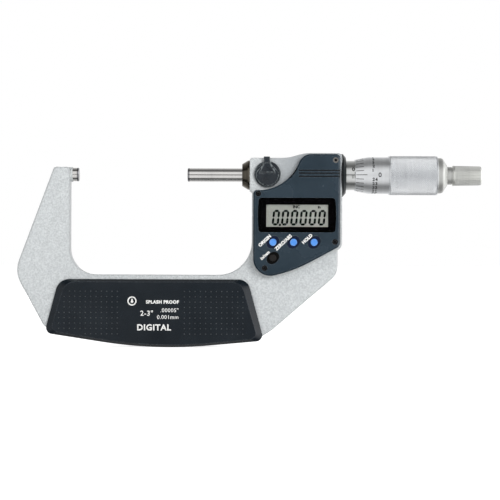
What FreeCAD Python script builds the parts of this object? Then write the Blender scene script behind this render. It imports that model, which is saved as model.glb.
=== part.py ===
import FreeCAD, Part
import math
import os
import Sketcher
from FreeCAD import Placement, Rotation, Vector

# Digital outside micrometer, 2 to 3 in (50.8 to 76.2 mm), closed on its 2 in zero.
# Millimetres. The origin is the centre of the anvil's measuring face. +X runs along
# the spindle to the ratchet, +Z is up, and -Y is the side with the display.

SIZES = {
    # Fits
    "seat_gap": 0.03,
    "running_gap": 0.05,
    "face_gap": 0.15,
    "clear_gap": 0.3,
    # Measuring line
    "measuring_gap": 50.8,
    "measuring_travel": 25.4,
    "spindle_radius": 3.175,
    "tip_thickness": 0.9,
    "tip_chamfer": 0.25,
    "spindle_reach": 25.5,
    "anvil_reach": 2.9,
    "anvil_depth": 6.5,
    # Frame arms
    "arm_thickness": 9.4,
    "arm_edge_round": 1.2,
    "anvil_wall": 0.275,
    "arm_tip_width": 7.4,
    "arm_tip_round": 1.5,
    "anvil_boss_reach": 1.1,
    "throat_depth": 46.7,
    "throat_round_left": 12.2,
    "throat_round_right": 15.7,
    "heel_out": 25.7,
    "heel_rise": 1.1,
    "heel_round": 13.0,
    "ankle_out": 12.4,
    "ankle_drop": 23.3,
    "ankle_round": 2.0,
    "toe_left_out": 9.6,
    "toe_left_drop": 25.9,
    "toe_right_out": 4.3,
    "toe_right_drop": 29.05,
    "toe_round": 1.5,
    "sole_shift": 1.2,
    "sole_drop": 34.3,
    "sole_round": 205.0,
    "knee_out": 9.6,
    "knee_drop": 25.6,
    "knee_round": 15.0,
    "shoulder_length": 41.1,
    "shoulder_depth": 20.0,
    "shoulder_rise": 0.6,
    "shoulder_round": 8.0,
    # Frame head
    "head_length": 42.9,
    "head_front": 8.2,
    "head_rear": 10.0,
    "head_nose_top": 7.74,
    "head_nose_bottom": 7.3,
    "head_top": 10.0,
    "head_wall_step": 1.1,
    "head_wall_top": 8.1,
    "head_slope_start": 17.8,
    "head_slope_end": 25.4,
    "head_slope_round": 20.0,
    "head_nose_round": 1.2,
    "head_top_round": 1.8,
    "head_front_edge": 0.5,
    "head_rear_edge": 2.0,
    # Display housing
    "housing_margin": 0.7,
    "housing_left": 1.7,
    "housing_right_margin": 1.1,
    "housing_thickness": 4.6,
    "housing_wall": 1.6,
    "housing_edge": 0.8,
    "housing_shelf": 7.4,
    "housing_slope_start": 17.5,
    "housing_slope_end": 24.4,
    "housing_top": 9.3,
    "housing_shelf_round": 1.7,
    "housing_slope_round": 20.0,
    "housing_crown_round": 6.0,
    "housing_corner_round": 2.0,
    "housing_lower_right": 33.2,
    "housing_lower_right_round": 3.2,
    "housing_belly": 21.2,
    "housing_belly_drop": 44.2,
    "housing_belly_round": 60.0,
    "housing_chin": 49.3,
    "housing_chin_round": 8.0,
    "gasket_thickness": 0.4,
    "gasket_inset": 0.25,
    "groove_from_head": 22.6,
    "groove_width": 0.6,
    "groove_depth": 0.8,
    "groove_top": 1.75,
    "groove_middle": 0.45,
    "groove_bottom": 1.0,
    # Electronics bay
    "bay_left": 4.8,
    "bay_right": 37.6,
    "bay_top": 11.4,
    "bay_lower_right": 33.5,
    "bay_belly": 21.2,
    "bay_bottom": 41.2,
    "bay_round": 1.5,
    "bay_floor": 4.0,
    # Window and display
    "window_left": 3.6,
    "window_width": 36.5,
    "window_top": 10.9,
    "window_height": 16.0,
    "window_bow": 0.6,
    "window_bow_round": 60.0,
    "window_round": 1.6,
    "window_thickness": 1.0,
    "lcd_left": 6.9,
    "lcd_width": 30.4,
    "lcd_top": 12.0,
    "lcd_height": 13.4,
    "lcd_thickness": 1.6,
    "lcd_ledge": 0.6,
    "holder_wall": 1.4,
    "connector_strip_width": 1.6,
    "board_thickness": 1.0,
    "board_depth": 4.2,
    "switch_width": 4.2,
    "switch_height": 1.0,
    # Buttons
    "button_left": 10.8,
    "button_pitch": 9.5,
    "button_drop": 31.45,
    "unit_button_drop": 38.7,
    "button_radius": 1.65,
    "button_hole_gap": 0.08,
    "button_travel": 0.8,
    "button_set_back": 0.15,
    "button_edge": 0.35,
    "button_flange_radius": 2.3,
    "button_flange_thickness": 0.6,
    "button_flange_gap": 0.1,
    "button_stem_radius": 1.1,
    "button_switch_gap": 0.1,
    "button_recess_long": 3.25,
    "button_recess_short": 2.5,
    "button_recess_round": 2.3,
    "button_recess_depth": 0.9,
    "button_seal_thickness": 0.5,
    "button_seal_margin": 3.6,
    # Screws
    "screw_head_radius": 1.3,
    "screw_head_height": 1.0,
    "screw_shank_radius": 0.8,
    "screw_length": 7.2,
    "screw_socket_radius": 0.65,
    "screw_socket_depth": 0.6,
    "screw_recess_depth": 1.2,
    "screw_top_right_in": 2.15,
    "screw_top_right_drop": 2.8,
    "screw_shelf_in": 2.3,
    "screw_shelf_drop": 1.65,
    "screw_lower_right_in": 2.4,
    "screw_lower_right_drop": 31.2,
    "screw_chin_in": 5.3,
    "screw_chin_drop": 43.4,
    # Spindle bearing, seal and clamp
    "bush_radius": 4.7,
    "bush_length": 17.0,
    "bush_end_radius": 3.9,
    "seal_cap_length": 3.5,
    "seal_cap_nose_radius": 5.2,
    "seal_cap_radius": 6.95,
    "seal_cap_bevel": 0.9,
    "seal_cap_lip": 1.1,
    "wiper_radius": 4.45,
    "wiper_length": 1.85,
    "clamp_from_head": 8.2,
    "clamp_disc_radius": 6.1,
    "clamp_disc_thickness": 2.6,
    "clamp_face_radius": 4.6,
    "clamp_face_depth": 0.35,
    "clamp_disc_edge": 0.5,
    "clamp_nub_reach": 8.2,
    "clamp_nub_tip": 3.0,
    "clamp_nub_root": 5.0,
    "clamp_shaft_radius": 2.0,
    "clamp_spigot_radius": 1.4,
    "clamp_spigot_length": 1.6,
    "clamp_shoe_radius": 1.2,
    # Encoder
    "rotor_bay_start": 26.7,
    "rotor_bay_radius": 7.2,
    "stator_thickness": 1.4,
    "stator_bore": 4.6,
    "rotor_gap": 0.5,
    "rotor_radius": 6.7,
    "rotor_thickness": 1.4,
    "rotor_bush_radius": 4.4,
    "rotor_bush_length": 8.2,
    "rotor_spring_inner": 4.9,
    "rotor_spring_outer": 6.3,
    "key_radius": 0.5,
    "key_depth": 0.6,
    "key_place": 3.6,
    "keyway_run_out": 3.0,
    # Sleeves and thimble
    "sleeve_radius": 6.85,
    "sleeve_bore": 5.9,
    "sleeve_length": 33.8,
    "inner_sleeve_start": 33.7,
    "inner_sleeve_length": 40.9,
    "inner_sleeve_socket": 4.0,
    "screw_thread_radius": 3.85,
    "screw_thread_start": 2.0,
    "taper_nut_radius": 6.75,
    "taper_nut_length": 5.6,
    "taper_nut_end": 1.0,
    "collar_length": 1.9,
    "collar_radius": 10.0,
    "collar_nose_radius": 8.5,
    "thimble_start": 6.2,
    "thimble_bore_gap": 0.1,
    "thimble_edge_wall": 0.3,
    "thimble_bevel_length": 6.1,
    "thimble_body_wall": 1.55,
    "thimble_plain_length": 15.8,
    "thimble_grip_rise": 0.65,
    "thimble_length": 38.5,
    "thimble_end_wall": 2.8,
    "thimble_end_bevel": 0.4,
    "thimble_cone_small": 3.3,
    # Ratchet stop
    "cap_radius": 8.25,
    "cap_rim_length": 1.3,
    "cap_dome_length": 3.3,
    "cap_nose_radius": 4.9,
    "cap_neck_radius": 4.15,
    "cap_neck_length": 2.1,
    "ratchet_gap": 0.1,
    "ratchet_length": 14.0,
    "ratchet_lip_radius": 4.75,
    "ratchet_end_radius": 4.45,
    "ratchet_lip_length": 1.8,
    "ratchet_end_round": 0.8,
    "ratchet_cavity_radius": 3.4,
    "ratchet_cavity_length": 6.6,
    "ratchet_web": 2.0,
    "ratchet_screw_radius": 1.85,
    "ratchet_screw_depth": 10.5,
    "ratchet_screw_head": 3.0,
    "ratchet_screw_head_height": 2.2,
    "ratchet_screw_slot": 0.9,
    "click_ring_thickness": 1.1,
    "ratchet_spring_radius": 3.0,
    # Grip covers
    "cover_thickness": 3.0,
    "cover_base": 1.2,
    "cover_left": 4.8,
    "cover_right": 1.9,
    "cover_drop": 2.1,
    "cover_top_left_round": 6.5,
    "cover_top_right_round": 5.5,
    "cover_bottom_left": 11.4,
    "cover_bottom_left_drop": 27.2,
    "cover_bottom_right": 5.8,
    "cover_bottom_right_drop": 30.55,
    "cover_sole_drop": 35.1,
    "cover_bottom_round": 3.0,
    "cover_bevel_side": 3.0,
    "cover_bevel_top": 1.2,
    "cover_bevel_bottom": 1.0,
    "cover_screw_head_radius": 2.2,
    "cover_screw_head_height": 1.2,
    "cover_screw_radius": 1.2,
    "cover_screw_sink": 0.2,
    "cover_screw_drop": 18.0,
    "cover_screw_spread": 28.0,
    "cover_screw_bite": 1.6,
    # Battery
    "battery_from_head": 26.2,
    "battery_drop": 22.0,
    "battery_radius": 5.8,
    "battery_height": 5.4,
    "battery_pocket_radius": 8.0,
    "battery_cup_floor": 0.6,
    "battery_seal_thickness": 0.5,
    "battery_seal_inner": 6.2,
    "battery_lid_thickness": 2.1,
    "battery_lid_proud": 0.3,
    "battery_lid_edge": 0.4,
    "coin_slot_length": 11.0,
    "coin_slot_width": 1.8,
    "coin_slot_depth": 1.1,
    "contact_radius": 1.0,
    "contact_hole_radius": 1.6,
    # Data output
    "output_from_head": 14.7,
    "output_drop": 38.5,
    "output_length": 12.0,
    "output_height": 5.0,
    "output_depth": 5.9,
    "output_seal_margin": 0.9,
    "output_seal_thickness": 0.5,
    "output_cap_length": 18.4,
    "output_cap_height": 8.4,
    "output_cap_thickness": 1.4,
    "output_cap_round": 2.2,
    "output_screw_spread": 7.9,
    "output_screw_length": 4.0,
}

doc = FreeCAD.newDocument("outside_micrometer")
sheet = doc.addObject("Spreadsheet::Sheet", "sizes")
for row, (alias, number) in enumerate(SIZES.items(), start=1):
    sheet.set(f"A{row}", alias)
    sheet.set(f"B{row}", str(number))
    sheet.setAlias(f"B{row}", alias)
doc.recompute()

nodes = []


class Length:
    """A length in millimetres, together with the sheet expression that gives it."""

    def __init__(self, value, text=None):
        self.value = float(value)
        self.text = text if text else f"({self.value})"

    def joined(self, other, sign, value):
        return Length(value, f"({self.text} {sign} {as_length(other).text})")

    def __add__(self, other):
        return self.joined(other, "+", self.value + as_length(other).value)

    def __sub__(self, other):
        return self.joined(other, "-", self.value - as_length(other).value)

    def __mul__(self, other):
        return self.joined(other, "*", self.value * as_length(other).value)

    def __truediv__(self, other):
        return self.joined(other, "/", self.value / as_length(other).value)

    def __neg__(self):
        return Length(-self.value, f"(0 - {self.text})")


def as_length(item):
    return item if isinstance(item, Length) else Length(item)


class Sizes:
    """Gives each cell of the sheet as a Length under its alias."""

    def __getattr__(self, alias):
        return Length(sheet.get(alias), f"sizes.{alias}")


s = Sizes()
ZERO = Length(0)


def bind(item, path, length):
    """Sets one property of an object from the sheet."""
    item.setExpression(path, as_length(length).text)


def new_body(label, node=True):
    """A PartDesign body; a node is written to its own file."""
    body = doc.addObject("PartDesign::Body", label)
    body.Label = label
    if node:
        nodes.append(body)
    return body


def new_sketch(body, name, role, offset=ZERO):
    """A sketch on one of the body's own origin planes, moved along its normal."""
    sketch = body.newObject("Sketcher::SketchObject", name)
    plane = [item for item in body.Origin.OriginFeatures if item.Role == role][0]
    sketch.AttachmentSupport = [(plane, "")]
    sketch.MapMode = "FlatFace"
    bind(sketch, "AttachmentOffset.Base.z", offset)
    return sketch


def fix(sketch, kind, *where, length):
    """One dimension of a sketch, bound to the sheet."""
    index = sketch.addConstraint(Sketcher.Constraint(kind, *where, length.value))
    bind(sketch, f"Constraints[{index}]", length)


def fix_point(sketch, geometry, position, across, up):
    fix(sketch, "DistanceX", -1, 1, geometry, position, length=across)
    fix(sketch, "DistanceY", -1, 1, geometry, position, length=up)


def draw_outline(sketch, corners):
    """A closed outline. A corner is (across, up) or (across, up, radius)."""
    spots = [[as_length(value) for value in corner] for corner in corners]
    count = len(spots)
    points = [Vector(spot[0].value, spot[1].value, 0) for spot in spots]
    ins, outs, arcs = [], [], []
    for i in range(count):
        before = (points[i - 1] - points[i]).normalize()
        after = (points[(i + 1) % count] - points[i]).normalize()
        if len(spots[i]) < 3:
            ins.append(points[i])
            outs.append(points[i])
            arcs.append(None)
            continue
        half = before.getAngle(after) / 2
        reach = spots[i][2].value / math.tan(half)
        centre = points[i] + (before + after).normalize() * (spots[i][2].value / math.sin(half))
        ins.append(points[i] + before * reach)
        outs.append(points[i] + after * reach)
        arcs.append(centre)
    lines = [
        sketch.addGeometry(Part.LineSegment(outs[i], ins[(i + 1) % count])) for i in range(count)
    ]
    for i in range(count):
        line_in, line_out = lines[i - 1], lines[i]
        if arcs[i] is None:
            sketch.addConstraint(Sketcher.Constraint("Coincident", line_in, 2, line_out, 1))
            fix_point(sketch, line_out, 1, spots[i][0], spots[i][1])
            continue
        centre, radius = arcs[i], spots[i][2]
        left_turn = (points[i] - points[i - 1]).cross(points[(i + 1) % count] - points[i]).z > 0
        start, end = (ins[i], outs[i]) if left_turn else (outs[i], ins[i])
        angles = [math.atan2(spot.y - centre.y, spot.x - centre.x) for spot in (start, end)]
        circle = Part.Circle(centre, Vector(0, 0, 1), radius.value)
        arc = sketch.addGeometry(Part.ArcOfCircle(circle, angles[0], angles[1]))
        first, last = (1, 2) if left_turn else (2, 1)
        sketch.addConstraint(Sketcher.Constraint("Tangent", line_in, 2, arc, first))
        sketch.addConstraint(Sketcher.Constraint("Tangent", arc, last, line_out, 1))
        fix(sketch, "Radius", arc, length=radius)
        corner = sketch.addGeometry(Part.Point(points[i]), True)
        fix_point(sketch, corner, 1, spots[i][0], spots[i][1])
        sketch.addConstraint(Sketcher.Constraint("PointOnObject", corner, 1, line_in))
        sketch.addConstraint(Sketcher.Constraint("PointOnObject", corner, 1, line_out))


def draw_circles(sketch, circles):
    """Circles given as (across, up, radius)."""
    for circle in circles:
        across, up, radius = (as_length(value) for value in circle)
        centre = Vector(across.value, up.value, 0)
        index = sketch.addGeometry(Part.Circle(centre, Vector(0, 0, 1), radius.value))
        fix_point(sketch, index, 3, across, up)
        fix(sketch, "Radius", index, length=radius)


def extrude(body, kind, name, draw, shapes, front, back):
    """Pads or pockets shapes drawn in X and Z, from y = front to y = back."""
    front, back = as_length(front), as_length(back)
    sketch = new_sketch(body, f"{name}_sketch", "XZ_Plane", -front)
    draw(sketch, shapes)
    feature = body.newObject(f"PartDesign::{kind}", name)
    feature.Profile = sketch
    feature.Reversed = kind == "Pad"
    bind(feature, "Length", back - front)
    return feature


def pad(body, name, corners, front, back):
    return extrude(body, "Pad", name, draw_outline, corners, front, back)


def pocket(body, name, corners, front, back):
    return extrude(body, "Pocket", name, draw_outline, corners, front, back)


def drill(body, name, circles, front, back):
    return extrude(body, "Pocket", name, draw_circles, circles, front, back)


def spin(body, kind, name, profile):
    """Turns a profile of (x, radius) points about the X axis."""
    sketch = new_sketch(body, f"{name}_sketch", "XZ_Plane")
    draw_outline(sketch, profile)
    feature = body.newObject(f"PartDesign::{kind}", name)
    feature.Profile = sketch
    feature.ReferenceAxis = (sketch, ["H_Axis"])
    feature.Angle = 360
    return feature


def turned(label, profile, node=True):
    """A piece turned about the spindle axis from (x, radius) points."""
    body = new_body(label, node)
    spin(body, "Revolution", "turning", profile)
    return body


def turned_across(label, profile, x, z, node=True):
    """A piece turned about a line along Y at x and z, from (y, radius) points."""
    body = new_body(label, node)
    sketch = new_sketch(body, "turning_sketch", "XY_Plane")
    draw_outline(sketch, [(corner[1], corner[0], *corner[2:]) for corner in profile])
    feature = body.newObject("PartDesign::Revolution", "turning")
    feature.Profile = sketch
    feature.ReferenceAxis = (sketch, ["V_Axis"])
    feature.Angle = 360
    bind(body, "Placement.Base.x", x)
    bind(body, "Placement.Base.z", z)
    return body


def dress(body, kind, name, size, chosen):
    """Fillets or chamfers the edges of the body's tip that the test chooses."""
    doc.recompute()
    base = body.Tip
    names = [f"Edge{i}" for i, edge in enumerate(base.Shape.Edges, start=1) if chosen(edge)]
    feature = body.newObject(f"PartDesign::{kind}", name)
    feature.Base = (base, names)
    bind(feature, "Radius" if kind == "Fillet" else "Size", size)
    return feature


def in_plane(axis, *lengths):
    """A test for edges that lie wholly in one of the planes across an axis."""
    tolerance = 1e-4

    def chosen(edge):
        box = edge.BoundBox
        low, high = getattr(box, f"{axis}Min"), getattr(box, f"{axis}Max")
        return any(abs(low - item.value) + abs(high - item.value) < tolerance for item in lengths)

    return chosen


def box_corners(left, right, low, high, radius=None):
    corners = [(left, low), (right, low), (right, high), (left, high)]
    return [(*corner, radius) for corner in corners] if radius else corners


def solid_box(label, left, right, front, back, low, high, node=True):
    """A plain rectangular block."""
    block = doc.addObject("Part::Box", label)
    block.Label = label
    sides = {"Length": right - left, "Width": back - front, "Height": high - low}
    for path, length in sides.items():
        bind(block, path, length)
    for path, length in zip("xyz", (left, front, low)):
        bind(block, f"Placement.Base.{path}", length)
    if node:
        nodes.append(block)
    return block


def group(label, members):
    """One node that holds several separate, like solids."""
    compound = doc.addObject("Part::Compound", label)
    compound.Label = label
    compound.Links = members
    nodes.append(compound)
    return compound


def ring(start, end, inner, outer):
    """The (x, radius) corners of a plain ring."""
    return [(start, inner), (end, inner), (end, outer), (start, outer)]


# Shared places
wall_left = -(s.anvil_reach + s.anvil_boss_reach)
head_left = s.measuring_gap + s.spindle_reach + s.seal_cap_length
head_right = head_left + s.head_length
wall_right = head_left + s.head_wall_step
throat_floor = -s.throat_depth
arm_front = -s.arm_thickness / 2
arm_back = s.arm_thickness / 2
head_front = -s.head_front
head_back = s.head_rear
grip_middle = (wall_left - s.cover_left + wall_right - s.cover_right) / 2 + s.sole_shift
cover_middle = (wall_left - s.cover_left + wall_right - s.cover_right) / 2
clamp_x = head_left + s.clamp_from_head
rotor_bay = head_left + s.rotor_bay_start
housing_back = head_front - s.gasket_thickness
housing_front = housing_back - s.housing_thickness
housing_inside = housing_front + s.housing_wall
housing_left = head_left + s.housing_left
housing_right = head_right - s.housing_right_margin
battery_x = head_left + s.battery_from_head
output_x = head_left + s.output_from_head
output_z = -s.output_drop

three_buttons = [
    (head_left + s.button_left + s.button_pitch * place, -s.button_drop) for place in range(3)
]
unit_button = (head_left + s.button_left, -s.unit_button_drop)
button_places = dict(
    zip(("origin_button", "zero_button", "hold_button"), three_buttons), unit_button=unit_button
)

housing_screw_places = [
    (housing_right - s.screw_top_right_in, s.housing_top - s.screw_top_right_drop),
    (housing_left + s.screw_shelf_in, -(s.housing_shelf + s.screw_shelf_drop)),
    (housing_right - s.screw_lower_right_in, -s.screw_lower_right_drop),
    (housing_left + s.screw_chin_in, -s.screw_chin_drop),
]
cover_screw_places = [
    (cover_middle + s.cover_screw_spread * side, throat_floor - s.cover_screw_drop)
    for side in (-1, 0, 1)
]
output_screw_places = [(output_x + s.output_screw_spread * side, output_z) for side in (-1, 1)]


def bay_outline(inset=ZERO):
    """The electronics bay behind the display, drawn in by an inset."""
    left = head_left + s.bay_left + inset
    right = head_left + s.bay_right - inset
    return [
        (left, inset - s.bay_bottom, s.bay_round),
        (head_left + s.bay_belly, inset - s.bay_bottom, s.bay_round),
        (right, inset - s.bay_lower_right, s.bay_round),
        (right, -inset - s.bay_top, s.bay_round),
        (left, -inset - s.bay_top, s.bay_round),
    ]


def housing_outline(inset=ZERO):
    """The display housing, with its shelf under the clamp and its sweep up to the sleeve."""
    left = housing_left + inset
    right = housing_right - inset
    shelf = -s.housing_shelf - inset
    slope_start = head_left + s.housing_slope_start + inset
    slope_end = head_left + s.housing_slope_end + inset
    return [
        (left, shelf, s.housing_shelf_round),
        (slope_start, shelf, s.housing_slope_round),
        (slope_end, s.housing_top - inset, s.housing_crown_round),
        (right, s.housing_top - inset, s.housing_corner_round),
        (right, inset - s.housing_lower_right, s.housing_lower_right_round),
        (head_left + s.housing_belly, inset - s.housing_belly_drop, s.housing_belly_round),
        (left, inset - s.housing_chin, s.housing_chin_round),
    ]


def cover_outline(side=ZERO, top=ZERO, bottom=ZERO):
    """A grip cover, drawn in by its bevels."""
    cover_top = throat_floor - s.cover_drop - top
    return [
        (wall_left - s.cover_left + side, cover_top, s.cover_top_left_round),
        (wall_right - s.cover_right - side, cover_top, s.cover_top_right_round),
        (
            wall_right + s.cover_bottom_right - side,
            throat_floor - s.cover_bottom_right_drop + bottom,
            s.cover_bottom_round,
        ),
        (grip_middle, throat_floor - s.cover_sole_drop + bottom, s.sole_round),
        (
            wall_left - s.cover_bottom_left + side,
            throat_floor - s.cover_bottom_left_drop + bottom,
            s.cover_bottom_round,
        ),
    ]


def window_outline(inset=ZERO):
    """The display window: a wide rectangle whose ends bow slightly outward."""
    left = head_left + s.window_left + inset
    right = head_left + s.window_left + s.window_width - inset
    top = -s.window_top - inset
    bottom = inset - s.window_top - s.window_height
    middle = (top + bottom) / 2
    return [
        (left + s.window_bow, bottom, s.window_round),
        (right - s.window_bow, bottom, s.window_round),
        (right, middle, s.window_bow_round),
        (right - s.window_bow, top, s.window_round),
        (left + s.window_bow, top, s.window_round),
        (left, middle, s.window_bow_round),
    ]


# Frame: one casting, with the two arms and the head that carries everything else
frame = new_body("frame")
anvil_boss_radius = s.spindle_radius + s.anvil_wall
arm_corners = [
    (wall_left - s.arm_tip_width, anvil_boss_radius, s.arm_tip_round),
    (wall_left, anvil_boss_radius, s.arm_tip_round),
    (wall_left, throat_floor, s.throat_round_left),
    (wall_right, throat_floor, s.throat_round_right),
    (wall_right, -s.shoulder_depth),
    (head_left + s.shoulder_length, -s.shoulder_depth),
    (head_left + s.shoulder_length, throat_floor + s.shoulder_rise, s.shoulder_round),
    (wall_right + s.knee_out, throat_floor - s.knee_drop, s.knee_round),
    (wall_right + s.toe_right_out, throat_floor - s.toe_right_drop, s.toe_round),
    (grip_middle, throat_floor - s.sole_drop, s.sole_round),
    (wall_left - s.toe_left_out, throat_floor - s.toe_left_drop, s.toe_round),
    (wall_left - s.ankle_out, throat_floor - s.ankle_drop, s.ankle_round),
    (wall_left - s.heel_out, throat_floor + s.heel_rise, s.heel_round),
]
pad(frame, "arms", arm_corners, arm_front, arm_back)
dress(frame, "Fillet", "arm_edges", s.arm_edge_round, in_plane("Y", arm_front, arm_back))
head_corners = [
    (head_left, s.head_nose_top, s.head_nose_round),
    (head_left + s.head_slope_start, s.head_nose_top, s.head_slope_round),
    (head_left + s.head_slope_end, s.head_top, s.head_slope_round),
    (head_right, s.head_top, s.head_top_round),
    (head_right, -(s.housing_lower_right + s.housing_margin), s.housing_lower_right_round),
    (
        head_left + s.housing_belly,
        -(s.housing_belly_drop + s.housing_margin),
        s.housing_belly_round,
    ),
    (wall_right, -(s.housing_chin + s.housing_margin), s.housing_chin_round),
    (wall_right, -s.head_wall_top),
    (head_left, -s.head_nose_bottom),
]
pad(frame, "head", head_corners, head_front, head_back)
dress(frame, "Fillet", "head_rear_edge", s.head_rear_edge, in_plane("Y", head_back))
dress(frame, "Fillet", "head_front_edge", s.head_front_edge, in_plane("Y", head_front))
boss_root = wall_left - s.anvil_boss_reach
spin(frame, "Revolution", "anvil_boss", ring(boss_root, -s.anvil_reach, ZERO, anvil_boss_radius))
anvil_hole = s.spindle_radius + s.seat_gap
anvil_end = -(s.anvil_reach + s.anvil_depth)
spin(frame, "Groove", "anvil_hole", ring(anvil_end, -s.anvil_reach, ZERO, anvil_hole))
bush_end = head_left + s.bush_length
head_bore = [
    (head_left, ZERO),
    (head_right, ZERO),
    (head_right, s.rotor_bay_radius),
    (rotor_bay, s.rotor_bay_radius),
    (rotor_bay, s.bush_end_radius),
    (bush_end, s.bush_end_radius),
    (bush_end, s.bush_radius + s.seat_gap),
    (head_left, s.bush_radius + s.seat_gap),
]
spin(frame, "Groove", "head_bore", head_bore)
pocket(frame, "electronics_bay", bay_outline(), head_front, -s.bay_floor)
clamp_hole = s.clamp_shaft_radius + s.running_gap
drill(frame, "clamp_hole", [(clamp_x, ZERO, clamp_hole)], head_front, ZERO)
battery_pocket_floor = (
    head_back + s.battery_lid_proud - s.battery_lid_thickness
    - s.battery_seal_thickness - s.battery_height - s.battery_cup_floor
)
battery_circle = [(battery_x, -s.battery_drop, s.battery_pocket_radius)]
drill(frame, "battery_pocket", battery_circle, battery_pocket_floor, head_back)
contact_circle = [(battery_x, -s.battery_drop, s.contact_hole_radius)]
drill(frame, "contact_hole", contact_circle, -s.bay_floor, battery_pocket_floor)


def output_box(margin):
    """A rectangle round the data output, larger by a margin."""
    half_length = s.output_length / 2 + margin
    half_height = s.output_height / 2 + margin
    return (
        output_x - half_length, output_x + half_length,
        output_z - half_height, output_z + half_height,
    )


output_front = head_back - s.output_seal_thickness - s.output_depth
pocket(frame, "output_pocket", box_corners(*output_box(s.clear_gap)), output_front, head_back)
seal_recess = box_corners(*output_box(s.output_seal_margin + s.seat_gap))
pocket(frame, "output_seal_recess", seal_recess, head_back - s.output_seal_thickness, head_back)
screw_hole = s.screw_shank_radius + s.seat_gap
output_screw_tip = head_back + s.output_cap_thickness - s.output_screw_length
output_holes = [(x, z, screw_hole) for x, z in output_screw_places]
drill(frame, "output_screw_holes", output_holes, output_screw_tip, head_back)
housing_screw_head = housing_front + s.screw_recess_depth
housing_screw_tip = housing_screw_head - s.screw_head_height + s.screw_length
housing_holes = [(x, z, screw_hole) for x, z in housing_screw_places]
drill(frame, "housing_screw_holes", housing_holes, head_front, housing_screw_tip)
cover_screw_hole = s.cover_screw_radius + s.seat_gap
cover_holes = [(x, z, cover_screw_hole) for x, z in cover_screw_places]
drill(frame, "cover_screw_holes", cover_holes, arm_front, arm_back)

# Anvil: a hardened pin set in the left arm, with a carbide face
turned("anvil", ring(anvil_end, -s.tip_thickness, ZERO, s.spindle_radius))


def tip_profile(back, face):
    """A carbide disc whose working edge is broken. The face is its measuring side."""
    inward = 1 if face.value < back.value else -1
    return [
        (back, ZERO),
        (face, ZERO),
        (face, s.spindle_radius - s.tip_chamfer),
        (face + s.tip_chamfer * inward, s.spindle_radius),
        (back, s.spindle_radius),
    ]


turned("anvil_tip", tip_profile(-s.tip_thickness, ZERO))

# Grip covers: two moulded plates that keep the hand's heat off the frame


def grip_cover(label, inner, direction):
    """A bevelled plate that stands out from the arm along Y in one direction."""
    body = new_body(label)
    middle = inner + s.cover_base * direction
    outer = inner + s.cover_thickness * direction
    front, back = (middle, inner) if direction < 0 else (inner, middle)
    pad(body, "base", cover_outline(), front, back)
    rim = new_sketch(body, "rim_sketch", "XZ_Plane", -middle)
    draw_outline(rim, cover_outline())
    face = new_sketch(body, "face_sketch", "XZ_Plane", -outer)
    bevels = (s.cover_bevel_side, s.cover_bevel_top, s.cover_bevel_bottom)
    draw_outline(face, cover_outline(*bevels))
    loft = body.newObject("PartDesign::AdditiveLoft", "bevels")
    loft.Profile = rim
    loft.Sections = [face]
    loft.Ruled = True
    return body


front_cover = grip_cover("front_grip_cover", arm_front, -1)
rear_cover = grip_cover("rear_grip_cover", arm_back, 1)
cover_face = arm_back + s.cover_thickness
cover_head_top = cover_face - s.cover_screw_sink
cover_head_floor = cover_head_top - s.cover_screw_head_height
drill(rear_cover, "screw_holes", cover_holes, arm_back, cover_face)
cover_head_hole = s.cover_screw_head_radius + s.seat_gap
cover_head_holes = [(x, z, cover_head_hole) for x, z in cover_screw_places]
drill(rear_cover, "screw_head_holes", cover_head_holes, cover_head_floor, cover_face)
cover_screw_tip = arm_front - s.cover_screw_bite
drill(front_cover, "screw_holes", cover_holes, cover_screw_tip, arm_front)


def screw(label, x, z, head_y, tip_y, head_radius, shank_radius, head_height):
    """A socket screw along Y, with its head at head_y and its tip at tip_y."""
    inward = 1 if tip_y.value > head_y.value else -1
    seat = head_y + head_height * inward
    socket = head_y + s.screw_socket_depth * inward
    profile = [
        (socket, ZERO),
        (tip_y, ZERO),
        (tip_y, shank_radius),
        (seat, shank_radius),
        (seat, head_radius),
        (head_y, head_radius),
        (head_y, s.screw_socket_radius),
        (socket, s.screw_socket_radius),
    ]
    return turned_across(label, profile, x, z, node=False)


cover_screws = [
    screw(
        f"cover_screw_{i}", x, z, cover_head_top, cover_screw_tip,
        s.cover_screw_head_radius, s.cover_screw_radius, s.cover_screw_head_height,
    )
    for i, (x, z) in enumerate(cover_screw_places, start=1)
]
group("grip_cover_screws", cover_screws)

# Spindle bearing, wiper and clamp shoe
guide_bush = turned(
    "spindle_guide_bush",
    ring(head_left, bush_end, s.spindle_radius + s.running_gap, s.bush_radius),
)
shoe_hole = s.clamp_shoe_radius + s.seat_gap
drill(guide_bush, "shoe_hole", [(clamp_x, ZERO, shoe_hole)], -s.bush_radius, ZERO)
clamp_shoe = [
    (-s.bush_radius, ZERO),
    (-(s.spindle_radius + s.running_gap), ZERO),
    (-(s.spindle_radius + s.running_gap), s.clamp_shoe_radius),
    (-s.bush_radius, s.clamp_shoe_radius),
]
turned_across("clamp_shoe", clamp_shoe, clamp_x, ZERO)
cap_start = head_left - s.seal_cap_length
wiper_start = cap_start + s.seal_cap_lip
seal_cap = [
    (cap_start, s.spindle_radius + s.clear_gap),
    (wiper_start, s.spindle_radius + s.clear_gap),
    (wiper_start, s.wiper_radius + s.seat_gap),
    (head_left, s.wiper_radius + s.seat_gap),
    (head_left, s.seal_cap_radius),
    (head_left - s.seal_cap_bevel, s.seal_cap_radius - s.face_gap),
    (cap_start, s.seal_cap_nose_radius),
]
turned("spindle_seal_cap", seal_cap)
wiper_end = wiper_start + s.wiper_length
wiper_bore = s.spindle_radius + s.running_gap
turned("spindle_wiper", ring(wiper_start, wiper_end, wiper_bore, s.wiper_radius))

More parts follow.
